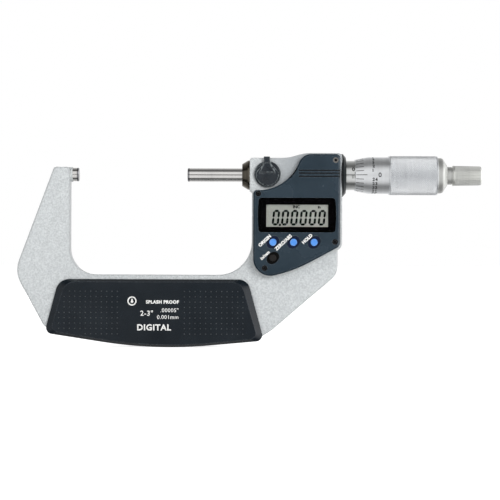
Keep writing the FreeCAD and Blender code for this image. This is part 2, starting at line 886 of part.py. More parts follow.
# Clamp: a lever on a short shaft whose eccentric end presses the shoe on the spindle
lever_back = head_front - s.face_gap
lever_front = lever_back - s.clamp_disc_thickness
spigot_front = lever_back - s.clamp_spigot_length
face_floor = lever_front + s.clamp_face_depth
lever_profile = [
    (lever_front, ZERO),
    (lever_front, s.clamp_face_radius),
    (face_floor, s.clamp_face_radius),
    (face_floor, s.clamp_disc_radius - s.clamp_disc_edge),
    (face_floor + s.clamp_disc_edge, s.clamp_disc_radius),
    (lever_back, s.clamp_disc_radius),
    (lever_back, s.clamp_spigot_radius + s.seat_gap),
    (spigot_front, s.clamp_spigot_radius + s.seat_gap),
    (spigot_front, ZERO),
]
clamp_lever = turned_across("clamp_lever", lever_profile, clamp_x, ZERO)
nub_corners = [
    (-s.clamp_nub_root / 2, s.clamp_face_radius),
    (s.clamp_nub_root / 2, s.clamp_face_radius),
    (s.clamp_nub_tip / 2, s.clamp_nub_reach, s.clamp_disc_edge),
    (-s.clamp_nub_tip / 2, s.clamp_nub_reach, s.clamp_disc_edge),
]
pad(clamp_lever, "nub", nub_corners, face_floor, lever_back)
shaft_tip = -(s.bush_radius + s.clear_gap)
shaft_profile = [
    (spigot_front, ZERO),
    (shaft_tip, ZERO),
    (shaft_tip, s.clamp_shaft_radius),
    (lever_back, s.clamp_shaft_radius),
    (lever_back, s.clamp_spigot_radius),
    (spigot_front, s.clamp_spigot_radius),
]
turned_across("clamp_shaft", shaft_profile, clamp_x, ZERO)

# Display housing: a moulded shell on the casting, with its gasket and four screws
housing = new_body("display_housing")
pad(housing, "shell", housing_outline(), housing_front, housing_back)
dress(housing, "Chamfer", "front_edge", s.housing_edge, in_plane("Y", housing_front))
pocket(housing, "inside", bay_outline(), housing_inside, housing_back)
window_back = housing_front + s.window_thickness
pocket(housing, "window_recess", window_outline(), housing_front, window_back)
lcd_left = head_left + s.lcd_left
lcd_right = lcd_left + s.lcd_width
lcd_top = -s.lcd_top
lcd_bottom = -(s.lcd_top + s.lcd_height)
view_corners = box_corners(
    lcd_left + s.lcd_ledge, lcd_right - s.lcd_ledge,
    lcd_bottom + s.lcd_ledge, lcd_top - s.lcd_ledge, s.lcd_ledge,
)
pocket(housing, "view_hole", view_corners, window_back, housing_inside)
screw_head_hole = s.screw_head_radius + s.seat_gap
head_holes = [(x, z, screw_head_hole) for x, z in housing_screw_places]
drill(housing, "screw_head_holes", head_holes, housing_front, housing_screw_head)
drill(housing, "screw_holes", housing_holes, housing_screw_head, housing_back)
button_holes = [
    (x, z, s.button_radius + s.button_hole_gap) for x, z in button_places.values()
]
drill(housing, "button_holes", button_holes, housing_front, housing_inside)


def recess_corners(x, z):
    """A rounded dish round a button that leans 45 degrees, up to the right."""
    lean = math.sqrt(0.5)
    corners = []
    for along, across in ((-1, -1), (1, -1), (1, 1), (-1, 1)):
        long_way = s.button_recess_long * (along * lean)
        short_way = s.button_recess_short * (across * lean)
        corners.append((x + long_way - short_way, z + long_way + short_way, s.button_recess_round))
    return corners


recess_floor = housing_front + s.button_recess_depth
for node, (x, z) in button_places.items():
    pocket(housing, f"{node}_recess", recess_corners(x, z), housing_front, recess_floor)
groove_start = head_left + s.groove_from_head
for name, height in (
    ("top", s.groove_top), ("middle", s.groove_middle), ("bottom", -s.groove_bottom),
):
    corners = box_corners(
        groove_start, housing_right + s.groove_width,
        height - s.groove_width / 2, height + s.groove_width / 2,
    )
    pocket(housing, f"{name}_groove", corners, housing_front, housing_front + s.groove_depth)

gasket = new_body("housing_gasket")
pad(gasket, "sheet", housing_outline(s.gasket_inset), housing_back, head_front)
pocket(gasket, "bay_hole", bay_outline(), housing_back, head_front)
drill(gasket, "screw_holes", housing_holes, housing_back, head_front)

housing_screws = [
    screw(
        f"housing_screw_{i}", x, z, housing_screw_head - s.screw_head_height,
        housing_screw_tip, s.screw_head_radius, s.screw_shank_radius, s.screw_head_height,
    )
    for i, (x, z) in enumerate(housing_screw_places, start=1)
]
group("housing_screws", housing_screws)

# Window and display stack: window, liquid crystal panel, holder, contact strips, board
window = new_body("display_window")
pad(window, "pane", window_outline(s.seat_gap), housing_front, window_back)
panel_front = housing_inside + s.button_flange_gap
panel_back = panel_front + s.lcd_thickness
board_front = housing_back + s.board_depth - s.housing_thickness + s.housing_wall
board_back = board_front + s.board_thickness
solid_box("lcd_panel", lcd_left, lcd_right, panel_front, panel_back, lcd_bottom, lcd_top)
holder = new_body("lcd_holder")
pad(holder, "rim", box_corners(lcd_left, lcd_right, lcd_bottom, lcd_top), panel_back, board_front)
holder_hole = box_corners(
    lcd_left + s.holder_wall, lcd_right - s.holder_wall,
    lcd_bottom + s.holder_wall, lcd_top - s.holder_wall,
)
pocket(holder, "middle", holder_hole, panel_back, board_front)
strip_left = lcd_left + s.holder_wall + s.seat_gap
strip_right = lcd_right - s.holder_wall - s.seat_gap
strips = []
for name, low in (
    ("lower", lcd_bottom + s.holder_wall + s.seat_gap),
    ("upper", lcd_top - s.holder_wall - s.seat_gap - s.connector_strip_width),
):
    high = low + s.connector_strip_width
    strips.append(
        solid_box(
            f"{name}_strip", strip_left, strip_right, panel_back, board_front, low, high, node=False
        )
    )
group("lcd_connector_strips", strips)
board = new_body("circuit_board")
pad(board, "sheet", bay_outline(s.clear_gap), board_front, board_back)
switch_front = board_front - s.switch_height
half_switch = s.switch_width / 2
switches = [
    solid_box(
        f"{node}_switch", x - half_switch, x + half_switch,
        switch_front, board_front, z - half_switch, z + half_switch, node=False,
    )
    for node, (x, z) in button_places.items()
]
group("button_switches", switches)

# Buttons: each a plunger with a flange behind the housing and a stem to its switch
button_front = housing_front + s.button_set_back
flange_front = housing_inside + s.button_flange_gap
flange_back = flange_front + s.button_flange_thickness
stem_back = switch_front - s.button_travel - s.button_switch_gap
button_profile = [
    (button_front, ZERO),
    (stem_back, ZERO),
    (stem_back, s.button_stem_radius),
    (flange_back, s.button_stem_radius),
    (flange_back, s.button_flange_radius),
    (flange_front, s.button_flange_radius),
    (flange_front, s.button_radius),
    (button_front, s.button_radius, s.button_edge),
]
for node, (x, z) in button_places.items():
    turned_across(node, button_profile, x, z)
seal_front = flange_back + s.button_travel + s.button_flange_gap
seal = new_body("button_seal")
seal_top = -(s.button_drop - s.button_seal_margin)
seal_step = -(s.button_drop + s.button_seal_margin)
seal_left = head_left + s.button_left - s.button_seal_margin
seal_corners = [
    (seal_left, seal_top),
    (seal_left + s.button_pitch * 2 + s.button_seal_margin * 2, seal_top),
    (seal_left + s.button_pitch * 2 + s.button_seal_margin * 2, seal_step),
    (seal_left + s.button_seal_margin * 2, seal_step),
    (seal_left + s.button_seal_margin * 2, -(s.bay_bottom - s.clear_gap)),
    (seal_left, -(s.bay_bottom - s.clear_gap)),
]
pad(seal, "sheet", seal_corners, seal_front, seal_front + s.button_seal_thickness)
stem_holes = [(x, z, s.button_stem_radius + s.clear_gap) for x, z in button_places.values()]
drill(seal, "stem_holes", stem_holes, seal_front, seal_front + s.button_seal_thickness)

# Encoder: a fixed ring reads a disc that turns with the spindle through a key
stator_end = rotor_bay + s.stator_thickness
turned(
    "encoder_stator",
    ring(rotor_bay, stator_end, s.stator_bore, s.rotor_bay_radius - s.seat_gap),
)
rotor_start = stator_end + s.rotor_gap
rotor_end = rotor_start + s.rotor_thickness
turned(
    "encoder_rotor",
    ring(rotor_start, rotor_end, s.rotor_bush_radius + s.seat_gap, s.rotor_radius),
)
rotor_bush_end = rotor_start + s.rotor_bush_length
rotor_bore = s.spindle_radius + s.running_gap
rotor_bush = turned("rotor_bush", ring(rotor_start, rotor_bush_end, rotor_bore, s.rotor_bush_radius))
key_x = rotor_start + s.key_place


def key_pin(label, radius, low, high):
    """A round pin along Z through the wall of the rotor bush."""
    pin = doc.addObject("Part::Cylinder", label)
    pin.Label = label
    bind(pin, "Radius", radius)
    bind(pin, "Height", high - low)
    bind(pin, "Placement.Base.x", key_x)
    bind(pin, "Placement.Base.z", low)
    return pin


key_low = s.spindle_radius - s.key_depth + s.running_gap
nodes.append(key_pin("rotor_key", s.key_radius, key_low, s.rotor_bush_radius))
key_hole = rotor_bush.newObject("PartDesign::SubtractiveCylinder", "key_hole")
bind(key_hole, "Radius", s.key_radius + s.seat_gap)
bind(key_hole, "Height", s.rotor_bush_radius + s.clear_gap)
bind(key_hole, "Placement.Base.x", key_x)

inner_start = head_left + s.inner_sleeve_start
turned(
    "rotor_spring",
    ring(
        rotor_end + s.clear_gap, inner_start - s.clear_gap,
        s.rotor_spring_inner, s.rotor_spring_outer,
    ),
)

# Sleeves: the inner one holds the nut for the screw, the outer one carries the scale
thimble_left = head_right + s.thimble_start
inner_end = head_right + s.inner_sleeve_length
socket_end = inner_start + s.inner_sleeve_socket
nut_bore = s.screw_thread_radius + s.running_gap
inner_sleeve = [
    (inner_start, s.rotor_bush_radius + s.running_gap),
    (socket_end, s.rotor_bush_radius + s.running_gap),
    (socket_end, nut_bore),
    (inner_end, nut_bore),
    (inner_end, s.sleeve_bore - s.seat_gap),
    (head_right, s.sleeve_bore - s.seat_gap),
    (head_right, s.rotor_bay_radius - s.seat_gap),
    (inner_start, s.rotor_bay_radius - s.seat_gap),
]
turned("inner_sleeve", inner_sleeve)
sleeve_end = head_right + s.sleeve_length
turned("outer_sleeve", ring(head_right, sleeve_end, s.sleeve_bore, s.sleeve_radius))
nut_end = inner_end - s.taper_nut_end
nut_start = nut_end - s.taper_nut_length
turned("taper_nut", ring(nut_start, nut_end, s.sleeve_bore, s.taper_nut_radius))
collar_end = head_right + s.collar_length
collar = [
    (head_right, s.sleeve_radius + s.seat_gap),
    (collar_end, s.sleeve_radius + s.seat_gap),
    (collar_end, s.collar_nose_radius),
    (head_right + s.collar_length / 3, s.collar_radius),
    (head_right, s.collar_radius),
]
turned("sleeve_collar", collar)

# Spindle: ground steel with a keyway, the screw, a cone for the thimble and a tapped end
spindle_left = s.measuring_gap + s.tip_thickness
thimble_right = thimble_left + s.thimble_length
thimble_wall = thimble_right - s.thimble_end_wall
thread_start = head_right + s.screw_thread_start
screw_hole_end = thimble_right - s.ratchet_screw_depth
spindle_profile = [
    (spindle_left, ZERO),
    (screw_hole_end, ZERO),
    (screw_hole_end, s.ratchet_screw_radius + s.seat_gap),
    (thimble_right, s.ratchet_screw_radius + s.seat_gap),
    (thimble_right, s.thimble_cone_small),
    (thimble_wall, s.screw_thread_radius),
    (thread_start, s.screw_thread_radius),
    (thread_start, s.spindle_radius),
    (spindle_left, s.spindle_radius),
]
spindle = turned("spindle", spindle_profile)
keyway = spindle.newObject("PartDesign::SubtractiveBox", "keyway")
keyway_half = s.key_radius + s.running_gap
keyway_start = key_x - s.measuring_travel - s.keyway_run_out
bind(keyway, "Length", s.measuring_travel + s.keyway_run_out * 2)
bind(keyway, "Width", keyway_half * 2)
bind(keyway, "Height", s.spindle_radius)
bind(keyway, "Placement.Base.x", keyway_start)
bind(keyway, "Placement.Base.y", -keyway_half)
bind(keyway, "Placement.Base.z", s.spindle_radius - s.key_depth)
turned("spindle_tip", tip_profile(spindle_left, s.measuring_gap))

# Thimble: a turned sleeve on the spindle's cone, bevelled to its 25 lines and knurled
thimble_bore = s.sleeve_radius + s.thimble_bore_gap
thimble_radius = thimble_bore + s.thimble_body_wall
thimble_grip_radius = thimble_radius + s.thimble_grip_rise
grip_start = thimble_left + s.thimble_plain_length
thimble_profile = [
    (thimble_left, thimble_bore),
    (thimble_wall, thimble_bore),
    (thimble_wall, s.screw_thread_radius + s.seat_gap),
    (thimble_right, s.thimble_cone_small + s.seat_gap),
    (thimble_right, thimble_grip_radius - s.thimble_end_bevel),
    (thimble_right - s.thimble_end_bevel, thimble_grip_radius),
    (grip_start, thimble_grip_radius),
    (grip_start, thimble_radius),
    (thimble_left + s.thimble_bevel_length, thimble_radius),
    (thimble_left, thimble_bore + s.thimble_edge_wall),
]
turned("thimble", thimble_profile)

# Ratchet stop: a cap, a click ring, a spring and a knob held by one long screw
cap_rim = thimble_right + s.cap_rim_length
cap_nose = cap_rim + s.cap_dome_length
cap_end = cap_nose + s.cap_neck_length
screw_way = s.ratchet_screw_radius + s.seat_gap
cap_profile = [
    (thimble_right, screw_way),
    (cap_end, screw_way),
    (cap_end, s.cap_neck_radius),
    (cap_nose, s.cap_neck_radius),
    (cap_nose, s.cap_nose_radius),
    (cap_rim + s.cap_dome_length / 3, s.cap_radius, s.cap_dome_length / 2),
    (cap_rim, s.cap_radius),
    (thimble_right, s.cap_radius),
]
turned("thimble_cap", cap_profile)
ring_bore = s.ratchet_screw_radius + s.running_gap
ring_end = cap_end + s.click_ring_thickness
turned(
    "ratchet_click_ring",
    ring(cap_end, ring_end, ring_bore, s.ratchet_cavity_radius - s.clear_gap),
)
knob_start = cap_end + s.ratchet_gap
cavity_end = knob_start + s.ratchet_cavity_length
web_end = cavity_end + s.ratchet_web
knob_end = knob_start + s.ratchet_length
turned(
    "ratchet_spring",
    ring(ring_end + s.clear_gap, cavity_end - s.clear_gap, ring_bore, s.ratchet_spring_radius),
)
head_start = web_end + s.ratchet_gap
head_end = head_start + s.ratchet_screw_head_height
ratchet_screw = turned(
    "ratchet_screw",
    [
        (screw_hole_end, ZERO),
        (head_end, ZERO),
        (head_end, s.ratchet_screw_head),
        (head_start, s.ratchet_screw_head),
        (head_start, s.ratchet_screw_radius),
        (screw_hole_end, s.ratchet_screw_radius),
    ],
)
slot = ratchet_screw.newObject("PartDesign::SubtractiveBox", "slot")
bind(slot, "Length", s.ratchet_screw_slot)
bind(slot, "Width", s.ratchet_screw_head * 2)
bind(slot, "Height", s.ratchet_screw_slot)
bind(slot, "Placement.Base.x", head_end - s.ratchet_screw_slot)
bind(slot, "Placement.Base.y", -s.ratchet_screw_head)
bind(slot, "Placement.Base.z", -s.ratchet_screw_slot / 2)
head_bore_radius = s.ratchet_screw_head + s.clear_gap
knob_profile = [
    (knob_start, s.ratchet_cavity_radius),
    (cavity_end, s.ratchet_cavity_radius),
    (cavity_end, ring_bore),
    (web_end, ring_bore),
    (web_end, head_bore_radius),
    (knob_end, head_bore_radius),
    (knob_end, s.ratchet_end_radius, s.ratchet_end_round),
    (knob_start + s.ratchet_lip_length, s.ratchet_lip_radius),
    (knob_start, s.ratchet_lip_radius, s.clear_gap),
]
turned("ratchet_knob", knob_profile)

# Battery: a button cell in a cup behind a sealed lid with a coin slot
cup_back = battery_pocket_floor + s.battery_cup_floor + s.battery_height
cell_front = battery_pocket_floor + s.battery_cup_floor
lid_back = head_back + s.battery_lid_proud
lid_front = lid_back - s.battery_lid_thickness
lid_radius = s.battery_pocket_radius - s.seat_gap
cell_bore = s.battery_radius + s.seat_gap
cup_profile = [
    (battery_pocket_floor, s.contact_hole_radius),
    (cell_front, s.contact_hole_radius),
    (cell_front, cell_bore),
    (cup_back, cell_bore),
    (cup_back, lid_radius),
    (battery_pocket_floor, lid_radius),
]
turned_across("battery_holder", cup_profile, battery_x, -s.battery_drop)
cell = doc.addObject("Part::Cylinder", "battery_cell")
cell.Label = "battery_cell"
cell.Placement = Placement(Vector(0, 0, 0), Rotation(Vector(1, 0, 0), -90))
bind(cell, "Radius", s.battery_radius)
bind(cell, "Height", s.battery_height)
for path, place in zip("xyz", (battery_x, cell_front, -s.battery_drop)):
    bind(cell, f"Placement.Base.{path}", place)
nodes.append(cell)
contact_profile = [
    (board_back, ZERO),
    (cell_front, ZERO),
    (cell_front, s.contact_radius),
    (board_back, s.contact_radius),
]
turned_across("battery_contact", contact_profile, battery_x, -s.battery_drop)
seal_profile = [
    (cup_back, s.battery_seal_inner),
    (lid_front, s.battery_seal_inner),
    (lid_front, lid_radius),
    (cup_back, lid_radius),
]
turned_across("battery_lid_seal", seal_profile, battery_x, -s.battery_drop)
lid_profile = [
    (lid_front, ZERO),
    (lid_back, ZERO),
    (lid_back, lid_radius - s.battery_lid_edge),
    (lid_back - s.battery_lid_edge, lid_radius),
    (lid_front, lid_radius),
]
lid = turned_across("battery_lid", lid_profile, battery_x, -s.battery_drop)
coin_slot = box_corners(
    -s.coin_slot_length / 2, s.coin_slot_length / 2,
    -s.coin_slot_width / 2, s.coin_slot_width / 2, s.battery_lid_edge,
)
pocket(lid, "coin_slot", coin_slot, lid_back - s.coin_slot_depth, lid_back)

# Data output: a connector under a sealed cap with two screws
output_back = head_back - s.output_seal_thickness
left, right, low, high = output_box(ZERO)
solid_box("output_connector", left, right, output_front, output_back, low, high)
output_seal = new_body("output_cap_seal")
seal_corners = box_corners(*output_box(s.output_seal_margin))
pad(output_seal, "sheet", seal_corners, output_back, head_back)
cap_back = head_back + s.output_cap_thickness
output_cap = new_body("output_cap")
half_cap = s.output_cap_length / 2
half_cap_height = s.output_cap_height / 2
cap_corners = box_corners(
    output_x - half_cap, output_x + half_cap,
    output_z - half_cap_height, output_z + half_cap_height, s.output_cap_round,
)
pad(output_cap, "plate", cap_corners, head_back, cap_back)
dress(output_cap, "Chamfer", "plate_edge", s.battery_lid_edge, in_plane("Y", cap_back))
cap_screw_seat = cap_back - s.screw_head_height
drill(output_cap, "screw_holes", output_holes, head_back, cap_back)
cap_head_holes = [(x, z, screw_head_hole) for x, z in output_screw_places]
drill(output_cap, "screw_head_holes", cap_head_holes, cap_screw_seat, cap_back)
output_screws = [
    screw(
        f"output_screw_{i}", x, z, cap_back, output_screw_tip,
        s.screw_head_radius, s.screw_shank_radius, s.screw_head_height,
    )
    for i, (x, z) in enumerate(output_screw_places, start=1)
]
group("output_cap_screws", output_screws)

# Every object is checked before anything is written
doc.recompute()
failed = [item.Name for item in doc.Objects if {"Invalid", "Error"} & set(item.State)]
if failed:
    raise RuntimeError(f"these objects failed: {failed}")
for item in nodes:
    if item.Shape.isNull() or not item.Shape.isValid() or not item.Shape.Solids:
        raise RuntimeError(f"{item.Label} has no valid solid")
os.makedirs("parts", exist_ok=True)
for item in nodes:
    item.Shape.exportStep(f"parts/{item.Label}.step")
    print(item.Label, len(item.Shape.Solids), round(item.Shape.Volume, 2))
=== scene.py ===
# Digital outside micrometer, 2 to 3 in, closed on its zero setting.
# Metres, in the frame of the CAD model: the origin is the centre of the anvil's measuring
# face, +X runs along the spindle, +Z is up, and -Y is the side with the display.
import bmesh
import bpy
import math
from mathutils import Matrix, Vector


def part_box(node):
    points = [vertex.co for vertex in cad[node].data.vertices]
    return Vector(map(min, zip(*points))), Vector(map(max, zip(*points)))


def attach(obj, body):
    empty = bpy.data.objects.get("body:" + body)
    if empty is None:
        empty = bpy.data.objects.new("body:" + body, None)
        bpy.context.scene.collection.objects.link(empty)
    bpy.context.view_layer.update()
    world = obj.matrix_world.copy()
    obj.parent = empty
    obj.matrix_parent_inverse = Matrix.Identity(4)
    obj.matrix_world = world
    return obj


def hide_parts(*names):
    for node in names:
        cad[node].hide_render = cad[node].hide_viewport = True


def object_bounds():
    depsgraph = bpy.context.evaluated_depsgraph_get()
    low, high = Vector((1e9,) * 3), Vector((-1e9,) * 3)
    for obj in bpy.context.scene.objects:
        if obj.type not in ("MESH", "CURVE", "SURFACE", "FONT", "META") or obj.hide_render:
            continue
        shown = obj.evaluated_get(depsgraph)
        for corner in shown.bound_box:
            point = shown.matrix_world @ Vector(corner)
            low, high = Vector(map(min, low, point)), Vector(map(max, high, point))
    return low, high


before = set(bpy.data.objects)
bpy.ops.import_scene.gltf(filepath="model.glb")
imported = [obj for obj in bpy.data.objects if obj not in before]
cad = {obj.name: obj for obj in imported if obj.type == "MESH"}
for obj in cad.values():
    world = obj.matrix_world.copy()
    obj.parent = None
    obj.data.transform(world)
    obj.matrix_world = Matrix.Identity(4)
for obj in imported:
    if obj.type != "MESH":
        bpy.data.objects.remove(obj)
cad_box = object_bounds()
mm = 0.001

# Studio: a pale floor under the foot of the frame and white all round. The light is soft,
# bright from the front and the right, with a dark gap above and below for metal to mirror.
scene = bpy.context.scene
scene.view_settings.view_transform = "Standard"


def add_node(tree, kind, inputs=None, **settings):
    """A new node with its settings, and its inputs set to values or linked to sockets."""
    made = tree.nodes.new(kind)
    for name, value in settings.items():
        setattr(made, name, value)
    for name, value in (inputs or {}).items():
        if isinstance(value, bpy.types.NodeSocket):
            tree.links.new(value, made.inputs[name])
        else:
            made.inputs[name].default_value = value
    return made


def maths(tree, operation, first, second=0.0, clamp=False):
    """The result of one Math node."""
    inputs = {0: first, 1: second}
    made = add_node(tree, "ShaderNodeMath", inputs, operation=operation, use_clamp=clamp)
    return made.outputs[0]


def remap(tree, value, low, high, to_low=0.0, to_high=1.0):
    """The value, stretched from one range to another."""
    inputs = {"Value": value, "From Min": low, "From Max": high}
    inputs.update({"To Min": to_low, "To Max": to_high})
    return add_node(tree, "ShaderNodeMapRange", inputs).outputs[0]


def blend_values(tree, share, first, second):
    """A float between the first and the second."""
    inputs = {0: share, 2: first, 3: second}
    return add_node(tree, "ShaderNodeMix", inputs, data_type="FLOAT").outputs[0]


studio = bpy.data.worlds.new("studio")
studio.use_nodes = True
scene.world = studio
sky = studio.node_tree
towards = add_node(sky, "ShaderNodeTexCoord").outputs["Generated"]
towards_x, towards_y, towards_z = add_node(sky, "ShaderNodeSeparateXYZ", {0: towards}).outputs
nearer = maths(sky, "MULTIPLY", towards_y, -1.0)
pitch = maths(sky, "ARCTAN2", towards_z, nearer)
panels = add_node(sky, "ShaderNodeValToRGB", {0: remap(sky, pitch, -math.pi, math.pi)})
PANEL_LIGHT = [
    (-180, 1.0), (-152, 0.95), (-120, 0.45), (-98, 0.30), (-82, 0.14), (-72, 0.03),
    (-63, 0.05), (-54, 0.66), (-40, 0.82), (0, 0.92), (40, 0.84), (54, 0.64), (62, 0.05),
    (71, 0.04), (82, 0.16), (104, 0.28), (136, 0.60), (160, 1.0), (180, 1.0),
]
stops = panels.color_ramp.elements
for place, (degrees, level) in enumerate(PANEL_LIGHT):
    if place > 1:
        stops.new((degrees + 180) / 360)
stops[0].position = 0.0
stops[len(PANEL_LIGHT) - 1].position = 1.0
for stop, (degrees, level) in zip(stops, PANEL_LIGHT):
    stop.position = (degrees + 180) / 360
for stop, (degrees, level) in zip(stops, PANEL_LIGHT):
    stop.color = (level, level, level, 1.0)
port = remap(sky, nearer, 0.982, 0.992)
front = blend_values(sky, port, panels.outputs[0], 0.22)
from_right = remap(sky, towards_x, 0.70, 0.95)
from_left = remap(sky, towards_x, -0.70, -0.95)
mirrored = blend_values(sky, from_right, front, 2.2)
dim = maths(sky, "MULTIPLY", panels.outputs[0], 0.55)
mirrored = blend_values(sky, from_left, mirrored, dim)
rays = add_node(sky, "ShaderNodeLightPath").outputs
straight = maths(sky, "MAXIMUM", rays["Is Camera Ray"], rays["Is Transmission Ray"])
level = blend_values(sky, rays["Is Diffuse Ray"], mirrored, 0.34)
level = blend_values(sky, straight, level, 1.0)
sky.links.new(level, sky.nodes["Background"].inputs["Color"])

LAMPS = [
    ("key_lamp", (0.42, -0.95, 0.10), 0.45, 6.0),
    ("fill_lamp", (-0.45, -0.90, 0.25), 0.55, 2.2),
    ("rear_lamp", (0.10, 0.90, 0.45), 0.70, 3.2),
]
middle = Vector((80 * mm, 0, -35 * mm))
for name, place, size, power in LAMPS:
    light = bpy.data.lights.new(name, "AREA")
    light.size = size
    light.energy = power
    lamp = bpy.data.objects.new(name, light)
    lamp.location = place
    lamp.rotation_euler = (middle - Vector(place)).to_track_quat("-Z", "Y").to_euler()
    lamp.visible_glossy = False
    bpy.context.collection.objects.link(lamp)

camera_data = bpy.data.cameras.new("camera")
camera_data.lens = 123
camera_data.sensor_width = 36
camera_data.clip_start = 0.01
camera = bpy.data.objects.new("camera", camera_data)
camera.location = (80.05 * mm, -800 * mm, -35.06 * mm)
camera.rotation_euler = (math.pi / 2, math.radians(-0.2), 0)
bpy.context.collection.objects.link(camera)
scene.camera = camera


def select_only(*pieces):
    """In object mode, selects these objects and nothing else, the first one active."""
    bpy.ops.object.select_all(action="DESELECT")
    for piece in pieces:
        piece.select_set(True)
    bpy.context.view_layer.objects.active = pieces[0]


bpy.ops.object.select_all(action="DESELECT")
bpy.ops.mesh.primitive_circle_add(vertices=64, radius=4, fill_type="NGON")
floor = bpy.context.object
floor.name = "floor"
floor.location.z = cad_box[0][2] - 0.02 * mm
floor_paint = bpy.data.materials.new("pale_floor")
floor_paint.use_nodes = True
floor_tree = floor_paint.node_tree
floor_shader = floor_tree.nodes["Principled BSDF"]
floor_shader.inputs["Base Color"].default_value = (0.92, 0.92, 0.92, 1)
floor_shader.inputs["Roughness"].default_value = 1
floor_shader.inputs["Specular IOR Level"].default_value = 0
floor_shader.inputs["Emission Color"].default_value = (1, 1, 1, 1)
seen = add_node(floor_tree, "ShaderNodeLightPath").outputs
seen = maths(floor_tree, "MAXIMUM", seen["Is Camera Ray"], seen["Is Transmission Ray"])
glow = maths(floor_tree, "MULTIPLY", seen, 0.75)
floor_tree.links.new(glow, floor_shader.inputs["Emission Strength"])
floor.data.materials.append(floor_paint)
floor.visible_glossy = False


# Frame: one casting with both arms, finished in a light grey hammered stove enamel. The enamel
# pools into fine dimples and is smooth to the touch. The darker line along its edges is painted
# shade, and so is the darker front of the head beside the housing.
def srgb(*levels):
    """The linear colour of three display levels, each from 0 to 255."""
    return [((level / 255 + 0.055) / 1.055) ** 2.4 for level in levels]


def new_finish(name, colour, roughness, metallic=0.0):
    """A material, its node tree and its shader, set to these plain values."""
    finish = bpy.data.materials.new(name)
    finish.use_nodes = True
    shader = finish.node_tree.nodes["Principled BSDF"]
    shader.inputs["Base Color"].default_value = (*colour, 1)
    shader.inputs["Roughness"].default_value = roughness
    shader.inputs["Metallic"].default_value = metallic
    return finish, finish.node_tree, shader


def effect_group(name, inputs, outputs):
    """An empty node group with plain number inputs and outputs, and both of its ends."""
    group = bpy.data.node_groups.new(name, "ShaderNodeTree")
    for label, value in inputs.items():
        socket = group.interface.new_socket(
            label, in_out="INPUT", socket_type="NodeSocketFloat"
        )
        socket.default_value = value
    for label in outputs:
        group.interface.new_socket(label, in_out="OUTPUT", socket_type="NodeSocketFloat")
    given = group.nodes.new("NodeGroupInput").outputs
    result = group.nodes.new("NodeGroupOutput").inputs
    return group, given, result


def effect(tree, group, **inputs):
    """The outputs of one of the shared effects, placed with its own values."""
    placed = add_node(tree, "ShaderNodeGroup", node_tree=group)
    for label, value in inputs.items():
        placed.inputs[label].default_value = value
    return placed.outputs


def noise(tree, scale, detail=2.0, vector=None):
    """The grey value of a noise texture on the piece's own coordinates."""
    if vector is None:
        vector = add_node(tree, "ShaderNodeTexCoord").outputs["Object"]
    inputs = {"Vector": vector, "Scale": scale, "Detail": detail}
    return add_node(tree, "ShaderNodeTexNoise", inputs).outputs[0]


def blend_colours(tree, share, first, second):
    """A colour between the first and the second."""
    mixed = add_node(tree, "ShaderNodeMix", {0: share}, data_type="RGBA")
    for socket, colour in ((mixed.inputs[6], first), (mixed.inputs[7], second)):
        if isinstance(colour, bpy.types.NodeSocket):
            tree.links.new(colour, socket)
        else:
            socket.default_value = (*colour, 1)
    return mixed.outputs[2]


def raise_bump(tree, shader, *heights):
    """Feeds bumps to the shader's normal. Each is a height value and its depth in metres."""
    normal = None
    for height, depth in heights:
        inputs = {"Height": height, "Distance": depth}
        if normal is not None:
            inputs["Normal"] = normal
        normal = add_node(tree, "ShaderNodeBump", inputs).outputs[0]
    tree.links.new(normal, shader.inputs["Normal"])


def give_finish(finish, *names):
    """Gives CAD nodes their finish."""
    for name in names:
        cad[name].data.materials[0] = finish


# Grain: the fine skin of a moulded or coated surface, and soft patches in its colour.
fine_grain, given, result = effect_group(
    "fine_grain", {"Scale": 2000.0, "Patch Scale": 120.0}, ["Height", "Patches"]
)
fine_grain.links.new(noise(fine_grain, given["Scale"], 3.0), result["Height"])
patches = noise(fine_grain, given["Patch Scale"], 4.0)
fine_grain.links.new(remap(fine_grain, patches, 0.3, 0.7), result["Patches"])

# Edge wear and painted light: a mask on the edges, broken up so that it comes and goes. It marks
# rubbed edges on some finishes, and painted highlights and painted shade along the edges on others.
edge_wear_and_painted_light, given, result = effect_group(
    "edge_wear_and_painted_light", {"Radius": 0.0003, "Breakup": 700.0, "Amount": 1.0}, ["Mask"]
)
rounded = add_node(edge_wear_and_painted_light, "ShaderNodeBevel", {"Radius": given["Radius"]}, samples=4)
surface = add_node(edge_wear_and_painted_light, "ShaderNodeNewGeometry")
inputs = {0: rounded.outputs[0], 1: surface.outputs["Normal"]}
agreement = add_node(edge_wear_and_painted_light, "ShaderNodeVectorMath", inputs, operation="DOT_PRODUCT")
edge = remap(edge_wear_and_painted_light, agreement.outputs["Value"], 0.992, 0.93)
broken = remap(edge_wear_and_painted_light, noise(edge_wear_and_painted_light, given["Breakup"], 5.0), 0.36, 0.62)
wear_and_light = maths(edge_wear_and_painted_light, "MULTIPLY", edge, broken)
edge_wear_and_painted_light.links.new(maths(edge_wear_and_painted_light, "MULTIPLY", wear_and_light, given["Amount"]), result["Mask"])

# Handling: faint smears that change the gloss, and a little of the shade.
handling, given, result = effect_group(
    "handling", {"Scale": 60.0, "Low": 0.3, "High": 0.4}, ["Roughness", "Smears"]
)
smears = remap(handling, noise(handling, given["Scale"], 6.0), 0.32, 0.68)
handling.links.new(smears, result["Smears"])
gloss = blend_values(handling, smears, given["Low"], given["High"])
handling.links.new(gloss, result["Roughness"])

